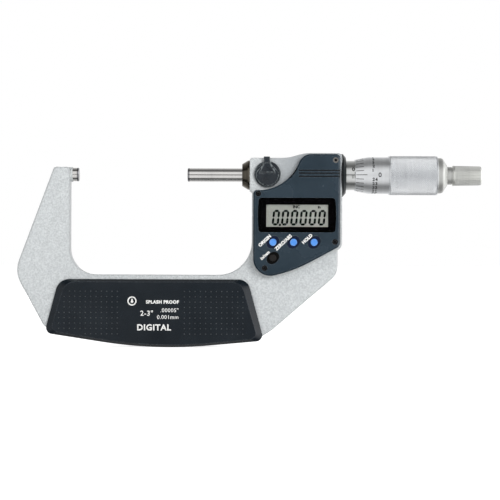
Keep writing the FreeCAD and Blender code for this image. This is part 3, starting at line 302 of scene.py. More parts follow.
enamel, tree, shader = new_finish("hammered_enamel", srgb(201, 205, 206), 0.36)
pools = effect(tree, fine_grain, **{"Scale": 1200.0, "Patch Scale": 1350.0})
# Painted shade: a darker line along the enamel's rounded edges, where they turn away from the
# light.
edge_shade = effect(tree, edge_wear_and_painted_light, Radius=0.0007, Breakup=1500.0, Amount=0.55)
handled = effect(tree, handling, Scale=45.0, Low=0.30, High=0.42)
paint = blend_colours(tree, pools["Patches"], srgb(184, 188, 190), srgb(216, 220, 221))
# Painted shade: the front face of the head beside the housing is painted darker towards the slope.
ends = add_node(tree, "ShaderNodeTexCoord").outputs["Object"]
end_x, end_y, end_z = add_node(tree, "ShaderNodeSeparateXYZ", {0: ends}).outputs
head_shade = remap(tree, end_x, 84 * mm, 98 * mm)
head_shade = maths(tree, "MULTIPLY", head_shade, remap(tree, end_y, -7.9 * mm, -8.1 * mm))
head_shade = maths(tree, "MULTIPLY", head_shade, remap(tree, end_z, -12 * mm, -4 * mm))
head_shade = maths(tree, "MULTIPLY", head_shade, 0.8)
paint = blend_colours(tree, head_shade, paint, srgb(158, 163, 167))
paint = blend_colours(tree, edge_shade["Mask"], paint, srgb(186, 186, 180))
tree.links.new(paint, shader.inputs["Base Color"])
tree.links.new(handled["Roughness"], shader.inputs["Roughness"])
wide = noise(tree, 700.0, 1.0)
raise_bump(tree, shader, (pools["Height"], 0.14 * mm), (wide, 0.16 * mm))
give_finish(enamel, "frame")

# Anvil and spindle: ground alloy steel with lapped carbide faces brazed on. The steel is
# mirror bright, with fine grinding rings round it; the carbide is a darker satin grey.
turning, given, result = effect_group(
    "turning_lines", {"Scale": 9000.0, "Band Scale": 700.0}, ["Height", "Bands"]
)
place = add_node(turning, "ShaderNodeTexCoord").outputs["Object"]
along = add_node(turning, "ShaderNodeMapping", {"Vector": place, "Scale": (1, 0.03, 0.03)})
rings = noise(turning, given["Scale"], 4.0, along.outputs[0])
turning.links.new(rings, result["Height"])
bands = noise(turning, given["Band Scale"], 3.0, along.outputs[0])
turning.links.new(remap(turning, bands, 0.3, 0.7), result["Bands"])


def turned_finish(name, dark, light, low, high, depth, line_scale=9000.0):
    """A bright turned metal: rings round it, bands in its shade and smears in its gloss."""
    finish, tree, shader = new_finish(name, light, low, 1.0)
    lines = effect(tree, turning, Scale=line_scale)
    handled = effect(tree, handling, Scale=90.0, Low=low, High=high)
    shade = maths(tree, "MULTIPLY", lines["Bands"], handled["Smears"])
    metal = blend_colours(tree, shade, light, dark)
    tree.links.new(metal, shader.inputs["Base Color"])
    tree.links.new(handled["Roughness"], shader.inputs["Roughness"])
    raise_bump(tree, shader, (lines["Height"], depth))
    return finish


ground_steel = turned_finish(
    "ground_steel", srgb(212, 211, 210), srgb(236, 234, 232), 0.10, 0.16, 0.0006 * mm
)
carbide = turned_finish(
    "lapped_carbide", srgb(120, 120, 124), srgb(150, 150, 153), 0.16, 0.24, 0.0006 * mm
)
give_finish(ground_steel, "anvil", "spindle")
give_finish(carbide, "anvil_tip", "spindle_tip")


# Grip covers: black moulded plates on both sides of the frame, with bevelled edges and two
# fields of small raised dots for the hand. The range and the steps are printed in white.
def coated_finish(
    name, dark, light, low, high, grain, depth, patch=90.0, edges=None, sheen=0.5
):
    """A moulded or painted surface: grain, patches of shade, smears and paler edges, which are wear
    on some finishes and a painted highlight on others.
    """
    finish, tree, shader = new_finish(name, light, low)
    shader.inputs["Specular IOR Level"].default_value = sheen
    skin = effect(tree, fine_grain, **{"Scale": grain, "Patch Scale": patch})
    handled = effect(tree, handling, Scale=70.0, Low=low, High=high)
    paint = blend_colours(tree, skin["Patches"], dark, light)
    if edges:
        colour, radius, amount = edges
        wear_and_light = effect(tree, edge_wear_and_painted_light, Radius=radius, Breakup=900.0, Amount=amount)
        paint = blend_colours(tree, wear_and_light["Mask"], paint, colour)
    tree.links.new(paint, shader.inputs["Base Color"])
    tree.links.new(handled["Roughness"], shader.inputs["Roughness"])
    raise_bump(tree, shader, (skin["Height"], depth))
    return finish


def settle(piece, name, finish):
    """Applies a new piece's place to its mesh, and gives it its name and finish."""
    select_only(piece)
    bpy.ops.object.transform_apply(location=True, rotation=True, scale=True)
    piece.name = name
    piece.data.name = name
    if finish:
        piece.data.materials.clear()
        piece.data.materials.append(finish)
    return piece


def edit(piece, kind, test):
    """Opens the piece in edit mode with only what passes the test selected."""
    select_only(piece)
    bpy.ops.object.mode_set(mode="EDIT")
    bpy.ops.mesh.select_mode(type=kind)
    bpy.ops.mesh.select_all(action="DESELECT")
    mesh = bmesh.from_edit_mesh(piece.data)
    parts = {"VERT": mesh.verts, "EDGE": mesh.edges, "FACE": mesh.faces}[kind]
    for part in parts:
        if test(part):
            part.select_set(True)
    mesh.select_flush_mode()
    bmesh.update_edit_mesh(piece.data)


def close_edit():
    """Leaves edit mode."""
    bpy.ops.object.mode_set(mode="OBJECT")


def repeat(piece, moves):
    """Copies a piece to each place, with its own mesh, and joins the copies as one."""
    copies = []
    for move in moves:
        copy = piece.copy()
        copy.data = piece.data.copy()
        copy.data.transform(move)
        bpy.context.collection.objects.link(copy)
        copies.append(copy)
    bpy.data.objects.remove(piece)
    select_only(*copies)
    bpy.ops.object.join()
    return bpy.context.object


def lettering(words, height, x, y, z, lean=0.0, weight=0.0, spacing=1.0, deep=0.03):
    """Flat letters facing the front, centred on a place, as a closed mesh."""
    bpy.ops.object.select_all(action="DESELECT")
    bpy.ops.object.text_add(rotation=(math.pi / 2, -lean, 0))
    text = bpy.context.object
    text.data.body = words
    text.data.align_x = "CENTER"
    text.data.align_y = "CENTER"
    text.data.size = height * mm / 0.7
    text.data.offset = weight * mm
    text.data.space_character = spacing
    text.data.extrude = deep / 2 * mm
    text.data.resolution_u = 3
    bpy.ops.object.convert(target="MESH")
    bpy.ops.object.transform_apply(location=False, rotation=True, scale=True)
    letters = bpy.context.object
    low = Vector([min(v.co[axis] for v in letters.data.vertices) for axis in range(3)])
    high = Vector([max(v.co[axis] for v in letters.data.vertices) for axis in range(3)])
    place = Vector((x, y, z)) * mm
    letters.data.transform(Matrix.Translation(place - (low + high) / 2))
    select_only(letters)
    bpy.ops.object.mode_set(mode="EDIT")
    bpy.ops.mesh.select_all(action="SELECT")
    bpy.ops.mesh.remove_doubles(threshold=0.001 * mm)
    bpy.ops.mesh.normals_make_consistent(inside=False)
    bpy.ops.object.mode_set(mode="OBJECT")
    return letters


def join(*pieces):
    """Joins pieces as one."""
    select_only(*pieces)
    bpy.ops.object.join()
    return bpy.context.object


# The cover's paler edge colour is a painted highlight along its bevels.
cover_plastic = coated_finish(
    "cover_plastic", srgb(13, 21, 28), srgb(20, 28, 35), 0.19, 0.26, 3000.0, 0.010 * mm,
    90.0, (srgb(84, 89, 94), 0.0006, 0.7), 0.42,
)
# Painted highlight: the raised dots are the cover's own black plastic, coloured a lighter grey for
# the light on them.
dot_painted_highlight = coated_finish(
    "raised_dots", srgb(40, 45, 50), srgb(56, 61, 63), 0.34, 0.44, 3000.0, 0.004 * mm
)
give_finish(cover_plastic, "front_grip_cover", "rear_grip_cover")
DOT_PITCH = 2.47 * mm
DOT_ROWS = 9
DOT_COLUMNS = 12
DOT_TOP = -54.4 * mm
LEFT_FIELD_END = 18.6 * mm
RIGHT_FIELD_START = 49.7 * mm
DOT_RADIUS = 0.30 * mm
DOT_CLEAR = 1.0 * mm


def on_flat(cover, x, z, side):
    """The height of a cover's flat face there, or None near its edge."""
    heights = []
    for dx, dz in ((0, 0), (DOT_CLEAR, 0), (-DOT_CLEAR, 0), (0, DOT_CLEAR), (0, -DOT_CLEAR)):
        start = Vector((x + dx, side * 30 * mm, z + dz))
        hit, place, normal, face = cover.ray_cast(start, Vector((0, -side, 0)))
        if not hit or abs(normal.y) < 0.999:
            return None
        heights.append(place.y)
    if max(heights) - min(heights) > 0.01 * mm:
        return None
    return heights[0]


for name, cover, side in (
    ("front_grip_dots", "front_grip_cover", -1),
    ("rear_grip_dots", "rear_grip_cover", 1),
):
    places = []
    for row in range(DOT_ROWS):
        for column in range(DOT_COLUMNS):
            z = DOT_TOP - row * DOT_PITCH
            left = LEFT_FIELD_END - column * DOT_PITCH
            right = RIGHT_FIELD_START + column * DOT_PITCH
            places += [(left, z), (right, z)]
    bpy.ops.object.select_all(action="DESELECT")
    bpy.ops.mesh.primitive_cylinder_add(
        vertices=10, radius=DOT_RADIUS, depth=0.2 * mm, rotation=(side * -math.pi / 2, 0, 0)
    )
    dot = settle(bpy.context.object, name, None)
    edit(dot, "FACE", lambda face: face.normal.y * side > 0.9)
    bpy.ops.mesh.inset(thickness=0.13 * mm)
    bpy.ops.transform.translate(value=(0, side * 0.07 * mm, 0))
    close_edit()
    moves = []
    for x, z in places:
        height = on_flat(cad[cover], x, z, side)
        if height is not None:
            moves.append(Matrix.Translation((x, height - side * 0.04 * mm, z)))
    dots = settle(repeat(dot, moves), name, dot_painted_highlight)
    select_only(dots)
    bpy.ops.object.shade_smooth_by_angle(angle=math.radians(50))
    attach(dots, "frame")

white_print = coated_finish(
    "white_print", srgb(238, 238, 235), srgb(250, 250, 248), 0.5, 0.6, 6000.0, 0.002 * mm
)
cover_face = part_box("front_grip_cover")[0][1] / mm - 0.01
print_lines = [
    lettering("SPLASH PROOF", 1.45, 39.5, cover_face, -59.3, weight=0.10, spacing=1.10),
    lettering('2-3"', 2.3, 32.2, cover_face, -64.5, weight=0.05, spacing=1.1),
    lettering('.00005"', 1.8, 42.8, cover_face, -63.1, weight=0.01, spacing=1.08),
    lettering("0.001mm", 1.8, 42.0, cover_face, -66.3, weight=0.01, spacing=1.06),
    lettering("DIGITAL", 2.7, 35.7, cover_face, -71.1, weight=0.12, spacing=1.12),
]
bpy.ops.object.select_all(action="DESELECT")
bpy.ops.mesh.primitive_torus_add(
    location=(25.4 * mm, cover_face * mm, -58.9 * mm), rotation=(math.pi / 2, 0, 0),
    major_segments=48, minor_segments=6, major_radius=1.85 * mm, minor_radius=0.28 * mm,
)
ring = bpy.context.object
ring.scale = (1, 1, 0.06)
print_lines.append(settle(ring, "ring", None))
bpy.ops.object.select_all(action="DESELECT")
bpy.ops.mesh.primitive_cylinder_add(
    vertices=24, radius=0.62 * mm, depth=0.03 * mm,
    location=(25.4 * mm, cover_face * mm, -59.2 * mm), rotation=(math.pi / 2, 0, 0),
)
drop = settle(bpy.context.object, "drop", None)
edit(drop, "VERT", lambda vertex: vertex.co.z > -58.7 * mm)
bpy.ops.transform.translate(value=(0, 0, 0.75 * mm))
close_edit()
print_lines.append(drop)
cover_print = settle(join(*print_lines), "front_cover_print", white_print)
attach(cover_print, "frame")

# Screws: small socket screws of blackened steel, their oxide rubbed bright on the rims.
# Three hold each grip cover, four the display housing and two the data socket's cap.
black_steel, tree, shader = new_finish("blackened_steel", srgb(30, 30, 32), 0.35, 1.0)
handled = effect(tree, handling, Scale=400.0, Low=0.28, High=0.45)
rubbed = effect(tree, edge_wear_and_painted_light, Radius=0.00018, Breakup=2500.0, Amount=0.9)
oxide = blend_colours(tree, handled["Smears"], srgb(20, 20, 22), srgb(36, 36, 38))
oxide = blend_colours(tree, rubbed["Mask"], oxide, srgb(150, 150, 150))
# Painted highlight: the head of the screw above the middle is painted a bright steel grey outside
# its socket, for its glint.
heads = add_node(tree, "ShaderNodeTexCoord").outputs["Object"]
head_y, head_z = add_node(tree, "ShaderNodeSeparateXYZ", {0: heads}).outputs[1:]
out_of_socket = remap(tree, head_y, -12.5 * mm, -12.7 * mm)
glint_paint = maths(tree, "MULTIPLY", out_of_socket, remap(tree, head_z, 0, 1 * mm))
oxide = blend_colours(tree, glint_paint, oxide, srgb(138, 136, 132))
tree.links.new(oxide, shader.inputs["Base Color"])
tree.links.new(handled["Roughness"], shader.inputs["Roughness"])
raise_bump(tree, shader, (noise(tree, 3000.0, 3.0), 0.003 * mm))
give_finish(black_steel, "grip_cover_screws", "housing_screws", "output_cap_screws")

# Spindle bearing and seal: a steel bush in the head, a bronze clamp shoe on the spindle,
# and in front of them a wiper held by a turned cap with a dark nickel finish.
dark_nickel = turned_finish(
    "dark_nickel", srgb(72, 68, 62), srgb(110, 104, 94), 0.13, 0.20, 0.001 * mm, 5000.0
)
bearing_steel = turned_finish(
    "bearing_steel", srgb(150, 150, 152), srgb(182, 182, 184), 0.22, 0.34, 0.002 * mm, 5000.0
)
bronze = turned_finish(
    "bronze", srgb(150, 112, 66), srgb(190, 148, 92), 0.26, 0.38, 0.002 * mm, 5000.0
)
rubber = coated_finish(
    "black_rubber", srgb(14, 14, 14), srgb(24, 24, 24), 0.62, 0.74, 5000.0, 0.008 * mm
)
give_finish(dark_nickel, "spindle_seal_cap")
give_finish(bearing_steel, "spindle_guide_bush", "clamp_shaft")
give_finish(bronze, "clamp_shoe")
give_finish(rubber, "spindle_wiper", "housing_gasket", "button_seal", "battery_lid_seal")
give_finish(rubber, "output_cap_seal", "lcd_connector_strips")

# Clamp lever: a die-cast disc on the clamp's shaft, enamelled dark blue-grey. Its face is
# dished inside a rim, and a thumb tab flares out of the face up to a nub above the disc.
lever_x = 88.0 * mm
lever_back = -8.35 * mm
flange_front = -10.25 * mm
face_front = -10.72 * mm
LEVER_RADIUS = 6.1 * mm
FACE_RADIUS = 5.15 * mm


def lever_disc(radius, front):
    """A plain disc of the lever, from its back face forward."""
    bpy.ops.object.select_all(action="DESELECT")
    bpy.ops.mesh.primitive_cylinder_add(
        vertices=128, radius=radius, depth=lever_back - front,
        location=(lever_x, (lever_back + front) / 2, 0), rotation=(math.pi / 2, 0, 0),
    )
    return settle(bpy.context.object, "disc", None)


def round_edges(piece, width, segments, degrees):
    """Rounds every edge of a piece that is sharper than the angle."""
    bevel = piece.modifiers.new("rounded", "BEVEL")
    bevel.width = width
    bevel.segments = segments
    bevel.limit_method = "ANGLE"
    bevel.angle_limit = math.radians(degrees)
    select_only(piece)
    bpy.ops.object.modifier_apply(modifier="rounded")


flange = lever_disc(LEVER_RADIUS, flange_front)
edit(flange, "FACE", lambda face: face.normal.y < -0.9)
bpy.ops.mesh.inset(thickness=0.62 * mm)
bpy.ops.mesh.inset(thickness=0.22 * mm)
bpy.ops.transform.translate(value=(0, 0.35 * mm, 0))
close_edit()
round_edges(flange, 0.20 * mm, 3, 30)
face = lever_disc(FACE_RADIUS, face_front)
for side in (-1, 1):
    edit(face, "FACE", lambda f: True)
    bpy.ops.mesh.bisect(
        plane_co=(lever_x + side * 1.55 * mm, 0, 4.75 * mm), plane_no=(side * 0.76, 0, 0.65),
        clear_outer=True, use_fill=True,
    )
    close_edit()
edit(face, "FACE", lambda f: f.normal.y < -0.9)
bpy.ops.mesh.inset(thickness=1.3 * mm)
bpy.ops.transform.translate(value=(0, 0.13 * mm, 0))
close_edit()
round_edges(face, 0.30 * mm, 4, 40)

TAB_ROWS = [
    (8.20, 1.30, -10.80), (7.95, 1.45, -10.95), (6.80, 1.42, -10.95), (5.60, 1.48, -10.95),
    (4.60, 1.75, -10.95), (3.60, 2.25, -10.95), (2.70, 2.80, -10.92), (1.80, 3.25, -10.84),
    (0.90, 3.55, -10.70), (0.10, 3.70, -10.45),
]
bpy.ops.object.select_all(action="DESELECT")
bpy.ops.mesh.primitive_cube_add(size=1, location=(lever_x, 0, 0))
tab = settle(bpy.context.object, "clamp_lever_tab", None)
edit(
    tab, "EDGE",
    lambda e: abs(e.verts[0].co.z - e.verts[1].co.z) > 0.5,
)
bpy.ops.mesh.subdivide(number_cuts=len(TAB_ROWS) - 2)
close_edit()
for vertex in tab.data.vertices:
    row = round((0.5 - vertex.co.z) * (len(TAB_ROWS) - 1))
    height, half_width, front = TAB_ROWS[row]
    side = 1 if vertex.co.x > lever_x else -1
    vertex.co.x = lever_x + (side * half_width - 0.04 * height) * mm
    vertex.co.y = front * mm if vertex.co.y < 0 else lever_back - 0.4 * mm
    vertex.co.z = height * mm
edit(
    tab, "FACE",
    lambda f: f.normal.y < -0.7 and 0.8 * mm < f.calc_center_median().z < 6.0 * mm,
)
bpy.ops.mesh.inset(thickness=0.42 * mm)
bpy.ops.transform.translate(value=(0, 0.36 * mm, -0.15 * mm))
close_edit()
round_edges(tab, 0.14 * mm, 3, 28)
# The lever's pale edge colour is a painted highlight on its rim and thumb tab.
lever_enamel = coated_finish(
    "lever_enamel", srgb(24, 30, 36), srgb(32, 39, 46), 0.18, 0.25, 2600.0, 0.006 * mm,
    240.0, (srgb(150, 158, 160), 0.0004, 1.0),
)
lever = settle(join(flange, face, tab), "clamp_lever_face", lever_enamel)
select_only(lever)
bpy.ops.object.shade_smooth_by_angle(angle=math.radians(32))
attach(lever, "clamp")
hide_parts("clamp_lever")

# Display housing: a blue-black glass-filled moulding over the electronics, screwed to the
# head through a rubber gasket. Three shallow grooves run to its right-hand edge.
# The housing's paler edge colour is a painted highlight along its chamfers.
housing_plastic = coated_finish(
    "housing_plastic", srgb(30, 44, 54), srgb(38, 53, 64), 0.22, 0.29, 3000.0, 0.008 * mm,
    70.0, (srgb(96, 106, 114), 0.0005, 0.6), 0.4,
)
tree = housing_plastic.node_tree
shader = tree.nodes["Principled BSDF"]
painted = shader.inputs["Base Color"].links[0].from_socket
places = add_node(tree, "ShaderNodeTexCoord").outputs["Object"]
groove_x, groove_y, groove_z = add_node(tree, "ShaderNodeSeparateXYZ", {0: places}).outputs
# Painted shade: the floors of the three grooves are painted near black.
from_middle = maths(tree, "ABSOLUTE", maths(tree, "SUBTRACT", groove_z, 0.4 * mm), 0.0)
groove_shade = remap(tree, from_middle, 2.4 * mm, 2.3 * mm)
groove_shade = maths(tree, "MULTIPLY", groove_shade, remap(tree, groove_y, -13.1 * mm, -12.8 * mm))
groove_shade = maths(tree, "MULTIPLY", groove_shade, remap(tree, groove_x, 121.5 * mm, 121.3 * mm))
tree.links.new(blend_colours(tree, groove_shade, painted, srgb(5, 9, 14)), shader.inputs["Base Color"])
give_finish(housing_plastic, "display_housing")

# Electronics: a green circuit board with small switches under the buttons, a plastic
# holder for the display, and the two etched discs of the rotary encoder.
board_mask = coated_finish(
    "solder_mask", srgb(12, 60, 34), srgb(22, 92, 52), 0.28, 0.40, 1800.0, 0.004 * mm,
    600.0, (srgb(188, 160, 88), 0.0002, 0.6),
)
inner_plastic = coated_finish(
    "inner_plastic", srgb(20, 20, 21), srgb(34, 34, 36), 0.44, 0.56, 3000.0, 0.006 * mm
)
give_finish(board_mask, "circuit_board", "encoder_stator", "encoder_rotor")
give_finish(inner_plastic, "lcd_holder", "button_switches", "battery_holder")
give_finish(inner_plastic, "output_connector")

# Display: a reflective liquid crystal panel, warm grey behind its glass. The lit segments
# are dark, six figures leaning a little to the right, with small signs above them.
lcd_ground = coated_finish(
    "lcd_ground", srgb(110, 111, 105), srgb(124, 125, 118), 0.30, 0.38, 8000.0, 0.001 * mm
)
lcd_ink = coated_finish(
    "lcd_ink", srgb(7, 10, 11), srgb(13, 17, 17), 0.34, 0.42, 8000.0, 0.001 * mm,
    sheen=0.0,
)
give_finish(lcd_ground, "lcd_panel")
lcd_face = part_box("lcd_panel")[0][1]
ink_face = lcd_face - 0.05 * mm
FIGURE_WIDTH = 3.35 * mm
FIGURE_HEIGHT = 7.25 * mm
FIGURE_PITCH = 4.24 * mm
FIGURE_LEFT = 89.9 * mm
FIGURE_FOOT = -23.7 * mm
STROKE = 1.06 * mm
STROKE_GAP = 0.13 * mm
FIGURE_LEAN = math.tan(math.radians(6.2))


def segment(length, upright):
    """One bar of a figure: a flat plate of ink that ends in two points."""
    bpy.ops.object.select_all(action="DESELECT")
    bpy.ops.mesh.primitive_plane_add(size=1, rotation=(math.pi / 2, 0, 0))
    bar = bpy.context.object
    bar.scale = (length - STROKE, STROKE, 1)
    settle(bar, "bar", None)
    for side in (-1, 1):
        end = side * (length - STROKE) / 2
        edit(bar, "EDGE", lambda e: all(abs(v.co.x - end) < 0.01 * mm for v in e.verts))
        bpy.ops.mesh.extrude_region_move(
            TRANSFORM_OT_translate={"value": (side * STROKE / 2, 0, 0)}
        )
        bpy.ops.mesh.merge(type="CENTER")
        close_edit()
    if upright:
        bar.data.transform(Matrix.Rotation(math.pi / 2, 4, "Y"))
    return bar


bar_height = (FIGURE_HEIGHT - STROKE) / 2
bar_width = FIGURE_WIDTH - STROKE
level_bar = segment(bar_width - STROKE_GAP, False)
upright_bar = segment(bar_height - STROKE_GAP, True)
level_places = [(0, bar_height), (0, -bar_height)]
upright_places = [
    (side * bar_width / 2, lift * bar_height / 2) for side in (-1, 1) for lift in (-1, 1)
]
level_bars = repeat(level_bar, [Matrix.Translation((x, 0, z)) for x, z in level_places])
upright_bars = repeat(
    upright_bar, [Matrix.Translation((x, 0, z)) for x, z in upright_places]
)
zero = join(level_bars, upright_bars)
for vertex in zero.data.vertices:
    vertex.co.x += (vertex.co.z + FIGURE_HEIGHT / 2) * FIGURE_LEAN
edit(zero, "FACE", lambda face: True)
bpy.ops.mesh.normals_make_consistent(inside=False)
close_edit()
figure_moves = []
for place in range(6):
    centre = FIGURE_LEFT + FIGURE_WIDTH / 2 + place * FIGURE_PITCH
    centre_height = FIGURE_FOOT + FIGURE_HEIGHT / 2
    figure_moves.append(Matrix.Translation((centre, ink_face, centre_height)))
figures = repeat(zero, figure_moves)
bpy.ops.object.select_all(action="DESELECT")
bpy.ops.mesh.primitive_plane_add(
    size=1.0 * mm, location=(93.75 * mm, ink_face, -23.4 * mm), rotation=(math.pi / 2, 0, 0)
)
point = settle(bpy.context.object, "point", None)
edit(point, "VERT", lambda vertex: vertex.co.z > -23.45 * mm)
bpy.ops.transform.translate(value=(0.08 * mm, 0, 0))
close_edit()
figures = join(figures, point)
thicken = figures.modifiers.new("ink", "SOLIDIFY")
thicken.thickness = 0.03 * mm
thicken.offset = 0
select_only(figures)
bpy.ops.object.modifier_apply(modifier="ink")
signs = [
    lettering("INC", 1.3, 101.4, ink_face / mm, -15.05, weight=0.08),
    lettering("in", 1.25, 111.9, ink_face / mm, -15.15, weight=0.09),
]
figures = settle(join(figures, *signs), "lcd_figures", lcd_ink)
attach(figures, "frame")

# Window: a clear cast pane set flush in the housing, with a black border printed on its
# back that leaves only the display's field open.
pane_glass, tree, shader = new_finish("window_glass", (0.97, 0.98, 0.98), 0.03)
shader.inputs["Transmission Weight"].default_value = 1.0
shader.inputs["IOR"].default_value = 1.06
pane_marks = effect(tree, handling, Scale=120.0, Low=0.02, High=0.05)
tree.links.new(pane_marks["Roughness"], shader.inputs["Roughness"])
give_finish(pane_glass, "display_window")
VIEW_LEFT = 87.5 * mm
VIEW_RIGHT = 116.0 * mm
VIEW_TOP = -14.1 * mm
VIEW_FOOT = -24.35 * mm
border = bpy.data.objects.new("window_border", cad["display_window"].data.copy())
bpy.context.collection.objects.link(border)
edit(border, "VERT", lambda vertex: True)
bpy.ops.mesh.remove_doubles(threshold=0.001 * mm)
close_edit()
edit(border, "FACE", lambda face: face.normal.y < 0.99)
bpy.ops.mesh.delete(type="FACE")
bpy.ops.mesh.select_all(action="SELECT")
bpy.ops.mesh.dissolve_limited(angle_limit=math.radians(1))
for place, direction in (
    ((VIEW_LEFT, 0, 0), (1, 0, 0)),
    ((VIEW_RIGHT, 0, 0), (1, 0, 0)),
    ((0, 0, VIEW_TOP), (0, 0, 1)),
    ((0, 0, VIEW_FOOT), (0, 0, 1)),
):
    bpy.ops.mesh.select_all(action="SELECT")
    bpy.ops.mesh.bisect(plane_co=place, plane_no=direction)
close_edit()


def in_view(face):
    """True for the part of the border's plate that stays open."""
    centre = face.calc_center_median()
    return VIEW_LEFT < centre.x < VIEW_RIGHT and VIEW_FOOT < centre.z < VIEW_TOP


edit(border, "FACE", in_view)
bpy.ops.mesh.delete(type="FACE")
bpy.ops.mesh.select_all(action="SELECT")
bpy.ops.mesh.flip_normals()
bpy.ops.transform.translate(value=(0, -0.02 * mm, 0))
close_edit()
thicken = border.modifiers.new("ink", "SOLIDIFY")
thicken.thickness = 0.012 * mm
thicken.offset = 0
select_only(border)
bpy.ops.object.modifier_apply(modifier="ink")
border_ink = coated_finish(
    "border_ink", srgb(3, 3, 4), srgb(5, 5, 6), 0.30, 0.36, 6000.0, 0.001 * mm,
    sheen=0.0,
)
settle(border, "window_border", border_ink)
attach(border, "frame")

# Buttons: three blue caps and a black one, each at the bottom of a leaning oval recess on
# a dark skirt. The words beside them are printed white and climb at 45 degrees.
# The paler rims of the blue caps and the black cap are a painted highlight.
blue_plastic = coated_finish(
    "blue_button", srgb(74, 140, 226), srgb(92, 156, 238), 0.34, 0.42, 3000.0, 0.003 * mm,
    400.0, (srgb(160, 200, 250), 0.00055, 1.0),
)
black_plastic = coated_finish(
    "black_button", srgb(16, 15, 14), srgb(26, 24, 23), 0.30, 0.40, 3000.0, 0.003 * mm,
    400.0, (srgb(62, 56, 52), 0.0004, 0.5), 0.3,
)
give_finish(blue_plastic, "origin_button", "zero_button", "hold_button")
give_finish(black_plastic, "unit_button")
# The skirts carry the rubber's dark colour and painted shade of the recesses: near black round the
# unit button, dark navy round the blue ones.
black_skirt_and_shade = coated_finish(
    "black_skirt_and_shade", srgb(2, 2, 2), srgb(5, 5, 5), 0.40, 0.50, 3000.0, 0.004 * mm,
    sheen=0.1,
)
blue_skirt_and_shade = coated_finish(
    "blue_skirt_and_shade", srgb(4, 16, 40), srgb(9, 25, 56), 0.40, 0.50, 3000.0, 0.004 * mm,
    sheen=0.25,
)
recess_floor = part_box("display_housing")[0][1] + 0.9 * mm
for name, button, skirt_and_shade_finish in (
    ("origin_skirt", "origin_button", blue_skirt_and_shade),
    ("zero_skirt", "zero_button", blue_skirt_and_shade),
    ("hold_skirt", "hold_button", blue_skirt_and_shade),
    ("unit_skirt", "unit_button", black_skirt_and_shade),
):
    low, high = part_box(button)
    bpy.ops.object.select_all(action="DESELECT")
    bpy.ops.mesh.primitive_circle_add(
        vertices=64, radius=1.74 * mm, fill_type="NOTHING", rotation=(math.pi / 2, 0, 0)
    )
    skirt = settle(bpy.context.object, name, None)
    edit(skirt, "EDGE", lambda e: True)
    bpy.ops.mesh.extrude_edges_move()
    bpy.ops.transform.resize(value=(1.36, 1, 1.36))
    bpy.ops.mesh.extrude_edges_move()
    bpy.ops.transform.resize(value=(1.03, 1, 1.03))
    bpy.ops.transform.translate(value=(0, -0.12 * mm, 0))
    close_edit()
    for vertex in skirt.data.vertices:
        reach = math.hypot(vertex.co.x, vertex.co.z)
        if reach > 2.0 * mm:
            climb = (vertex.co.x + vertex.co.z) / math.sqrt(2)
            vertex.co.x += 0.26 * climb / math.sqrt(2)
            vertex.co.z += 0.26 * climb / math.sqrt(2)
    skirt.data.transform(
        Matrix.Translation(((low.x + high.x) / 2, recess_floor - 0.03 * mm, (low.z + high.z) / 2))
    )
    edit(skirt, "FACE", lambda face: True)
    bpy.ops.mesh.normals_make_consistent(inside=False)
    close_edit()
    thicken = skirt.modifiers.new("skin", "SOLIDIFY")
    thicken.thickness = 0.02 * mm
    thicken.offset = 0
    select_only(skirt)
    bpy.ops.object.modifier_apply(modifier="skin")
    settle(skirt, name, skirt_and_shade_finish)
    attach(skirt, "frame")

housing_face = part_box("display_housing")[0][1] / mm - 0.01
LEAN = math.radians(43)
labels = [
    lettering("ORIGIN", 1.45, 86.95, housing_face, -30.6, LEAN, 0.09, 1.0),
    lettering("ZERO/ABS", 1.5, 95.3, housing_face, -31.6, LEAN, 0.09, 1.0),
    lettering("HOLD", 1.45, 106.2, housing_face, -30.0, LEAN, 0.09, 1.0),
    lettering("in/mm", 1.4, 87.0, housing_face, -37.7, LEAN, 0.08, 1.02),
]
labels = settle(join(*labels), "button_labels", white_print)
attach(labels, "frame")

# Sleeves: a steel inner sleeve with the nut's thread, and round it the outer sleeve in
# satin chrome, engraved with the line the thimble is read against and 40 divisions.
satin_chrome = turned_finish(
    "satin_chrome", srgb(206, 208, 207), srgb(228, 230, 229), 0.26, 0.33, 0.0016 * mm, 7000.0
)
thimble_chrome = turned_finish(
    "thimble_chrome", srgb(226, 228, 230), srgb(244, 246, 248), 0.38, 0.46, 0.0016 * mm, 7000.0
)
cap_chrome = turned_finish(
    "cap_chrome", srgb(206, 207, 204), srgb(220, 221, 218), 0.48, 0.56, 0.0016 * mm, 7000.0
)
collar_black = turned_finish(
    "collar_black", srgb(30, 33, 35), srgb(46, 50, 52), 0.26, 0.36, 0.002 * mm, 5000.0
)
engraving = coated_finish(
    "engraving", srgb(16, 16, 18), srgb(30, 30, 32), 0.48, 0.56, 6000.0, 0.001 * mm,
    sheen=0.2,
)
give_finish(satin_chrome, "outer_sleeve")
give_finish(cap_chrome, "thimble_cap")
give_finish(collar_black, "sleeve_collar")
give_finish(bearing_steel, "inner_sleeve", "taper_nut", "rotor_bush", "rotor_key")
give_finish(bearing_steel, "rotor_spring")
SLEEVE_RADIUS = 6.85 * mm
ENGRAVED_RISE = 0.008 * mm
sleeve_zero = 128.75 * mm
DIVISION = 0.635 * mm


def wrap(piece, radius):
    """Bends a flat piece that stands on the front of a cylinder round the X axis."""
    for vertex in piece.data.vertices:
        turn = vertex.co.z / radius
        reach = radius - vertex.co.y
        vertex.co.y = -reach * math.cos(turn)
        vertex.co.z = reach * math.sin(turn)


def slice_across(piece, step):
    """Cuts a flat piece into level rows, so that it bends smoothly."""
    heights = [vertex.co.z for vertex in piece.data.vertices]
    cut = math.floor(min(heights) / step) * step + step
    edit(piece, "VERT", lambda vertex: True)
    while cut < max(heights):
        bpy.ops.mesh.select_all(action="SELECT")
        bpy.ops.mesh.bisect(plane_co=(0, 0, cut), plane_no=(0, 0, 1))
        cut += step
    close_edit()


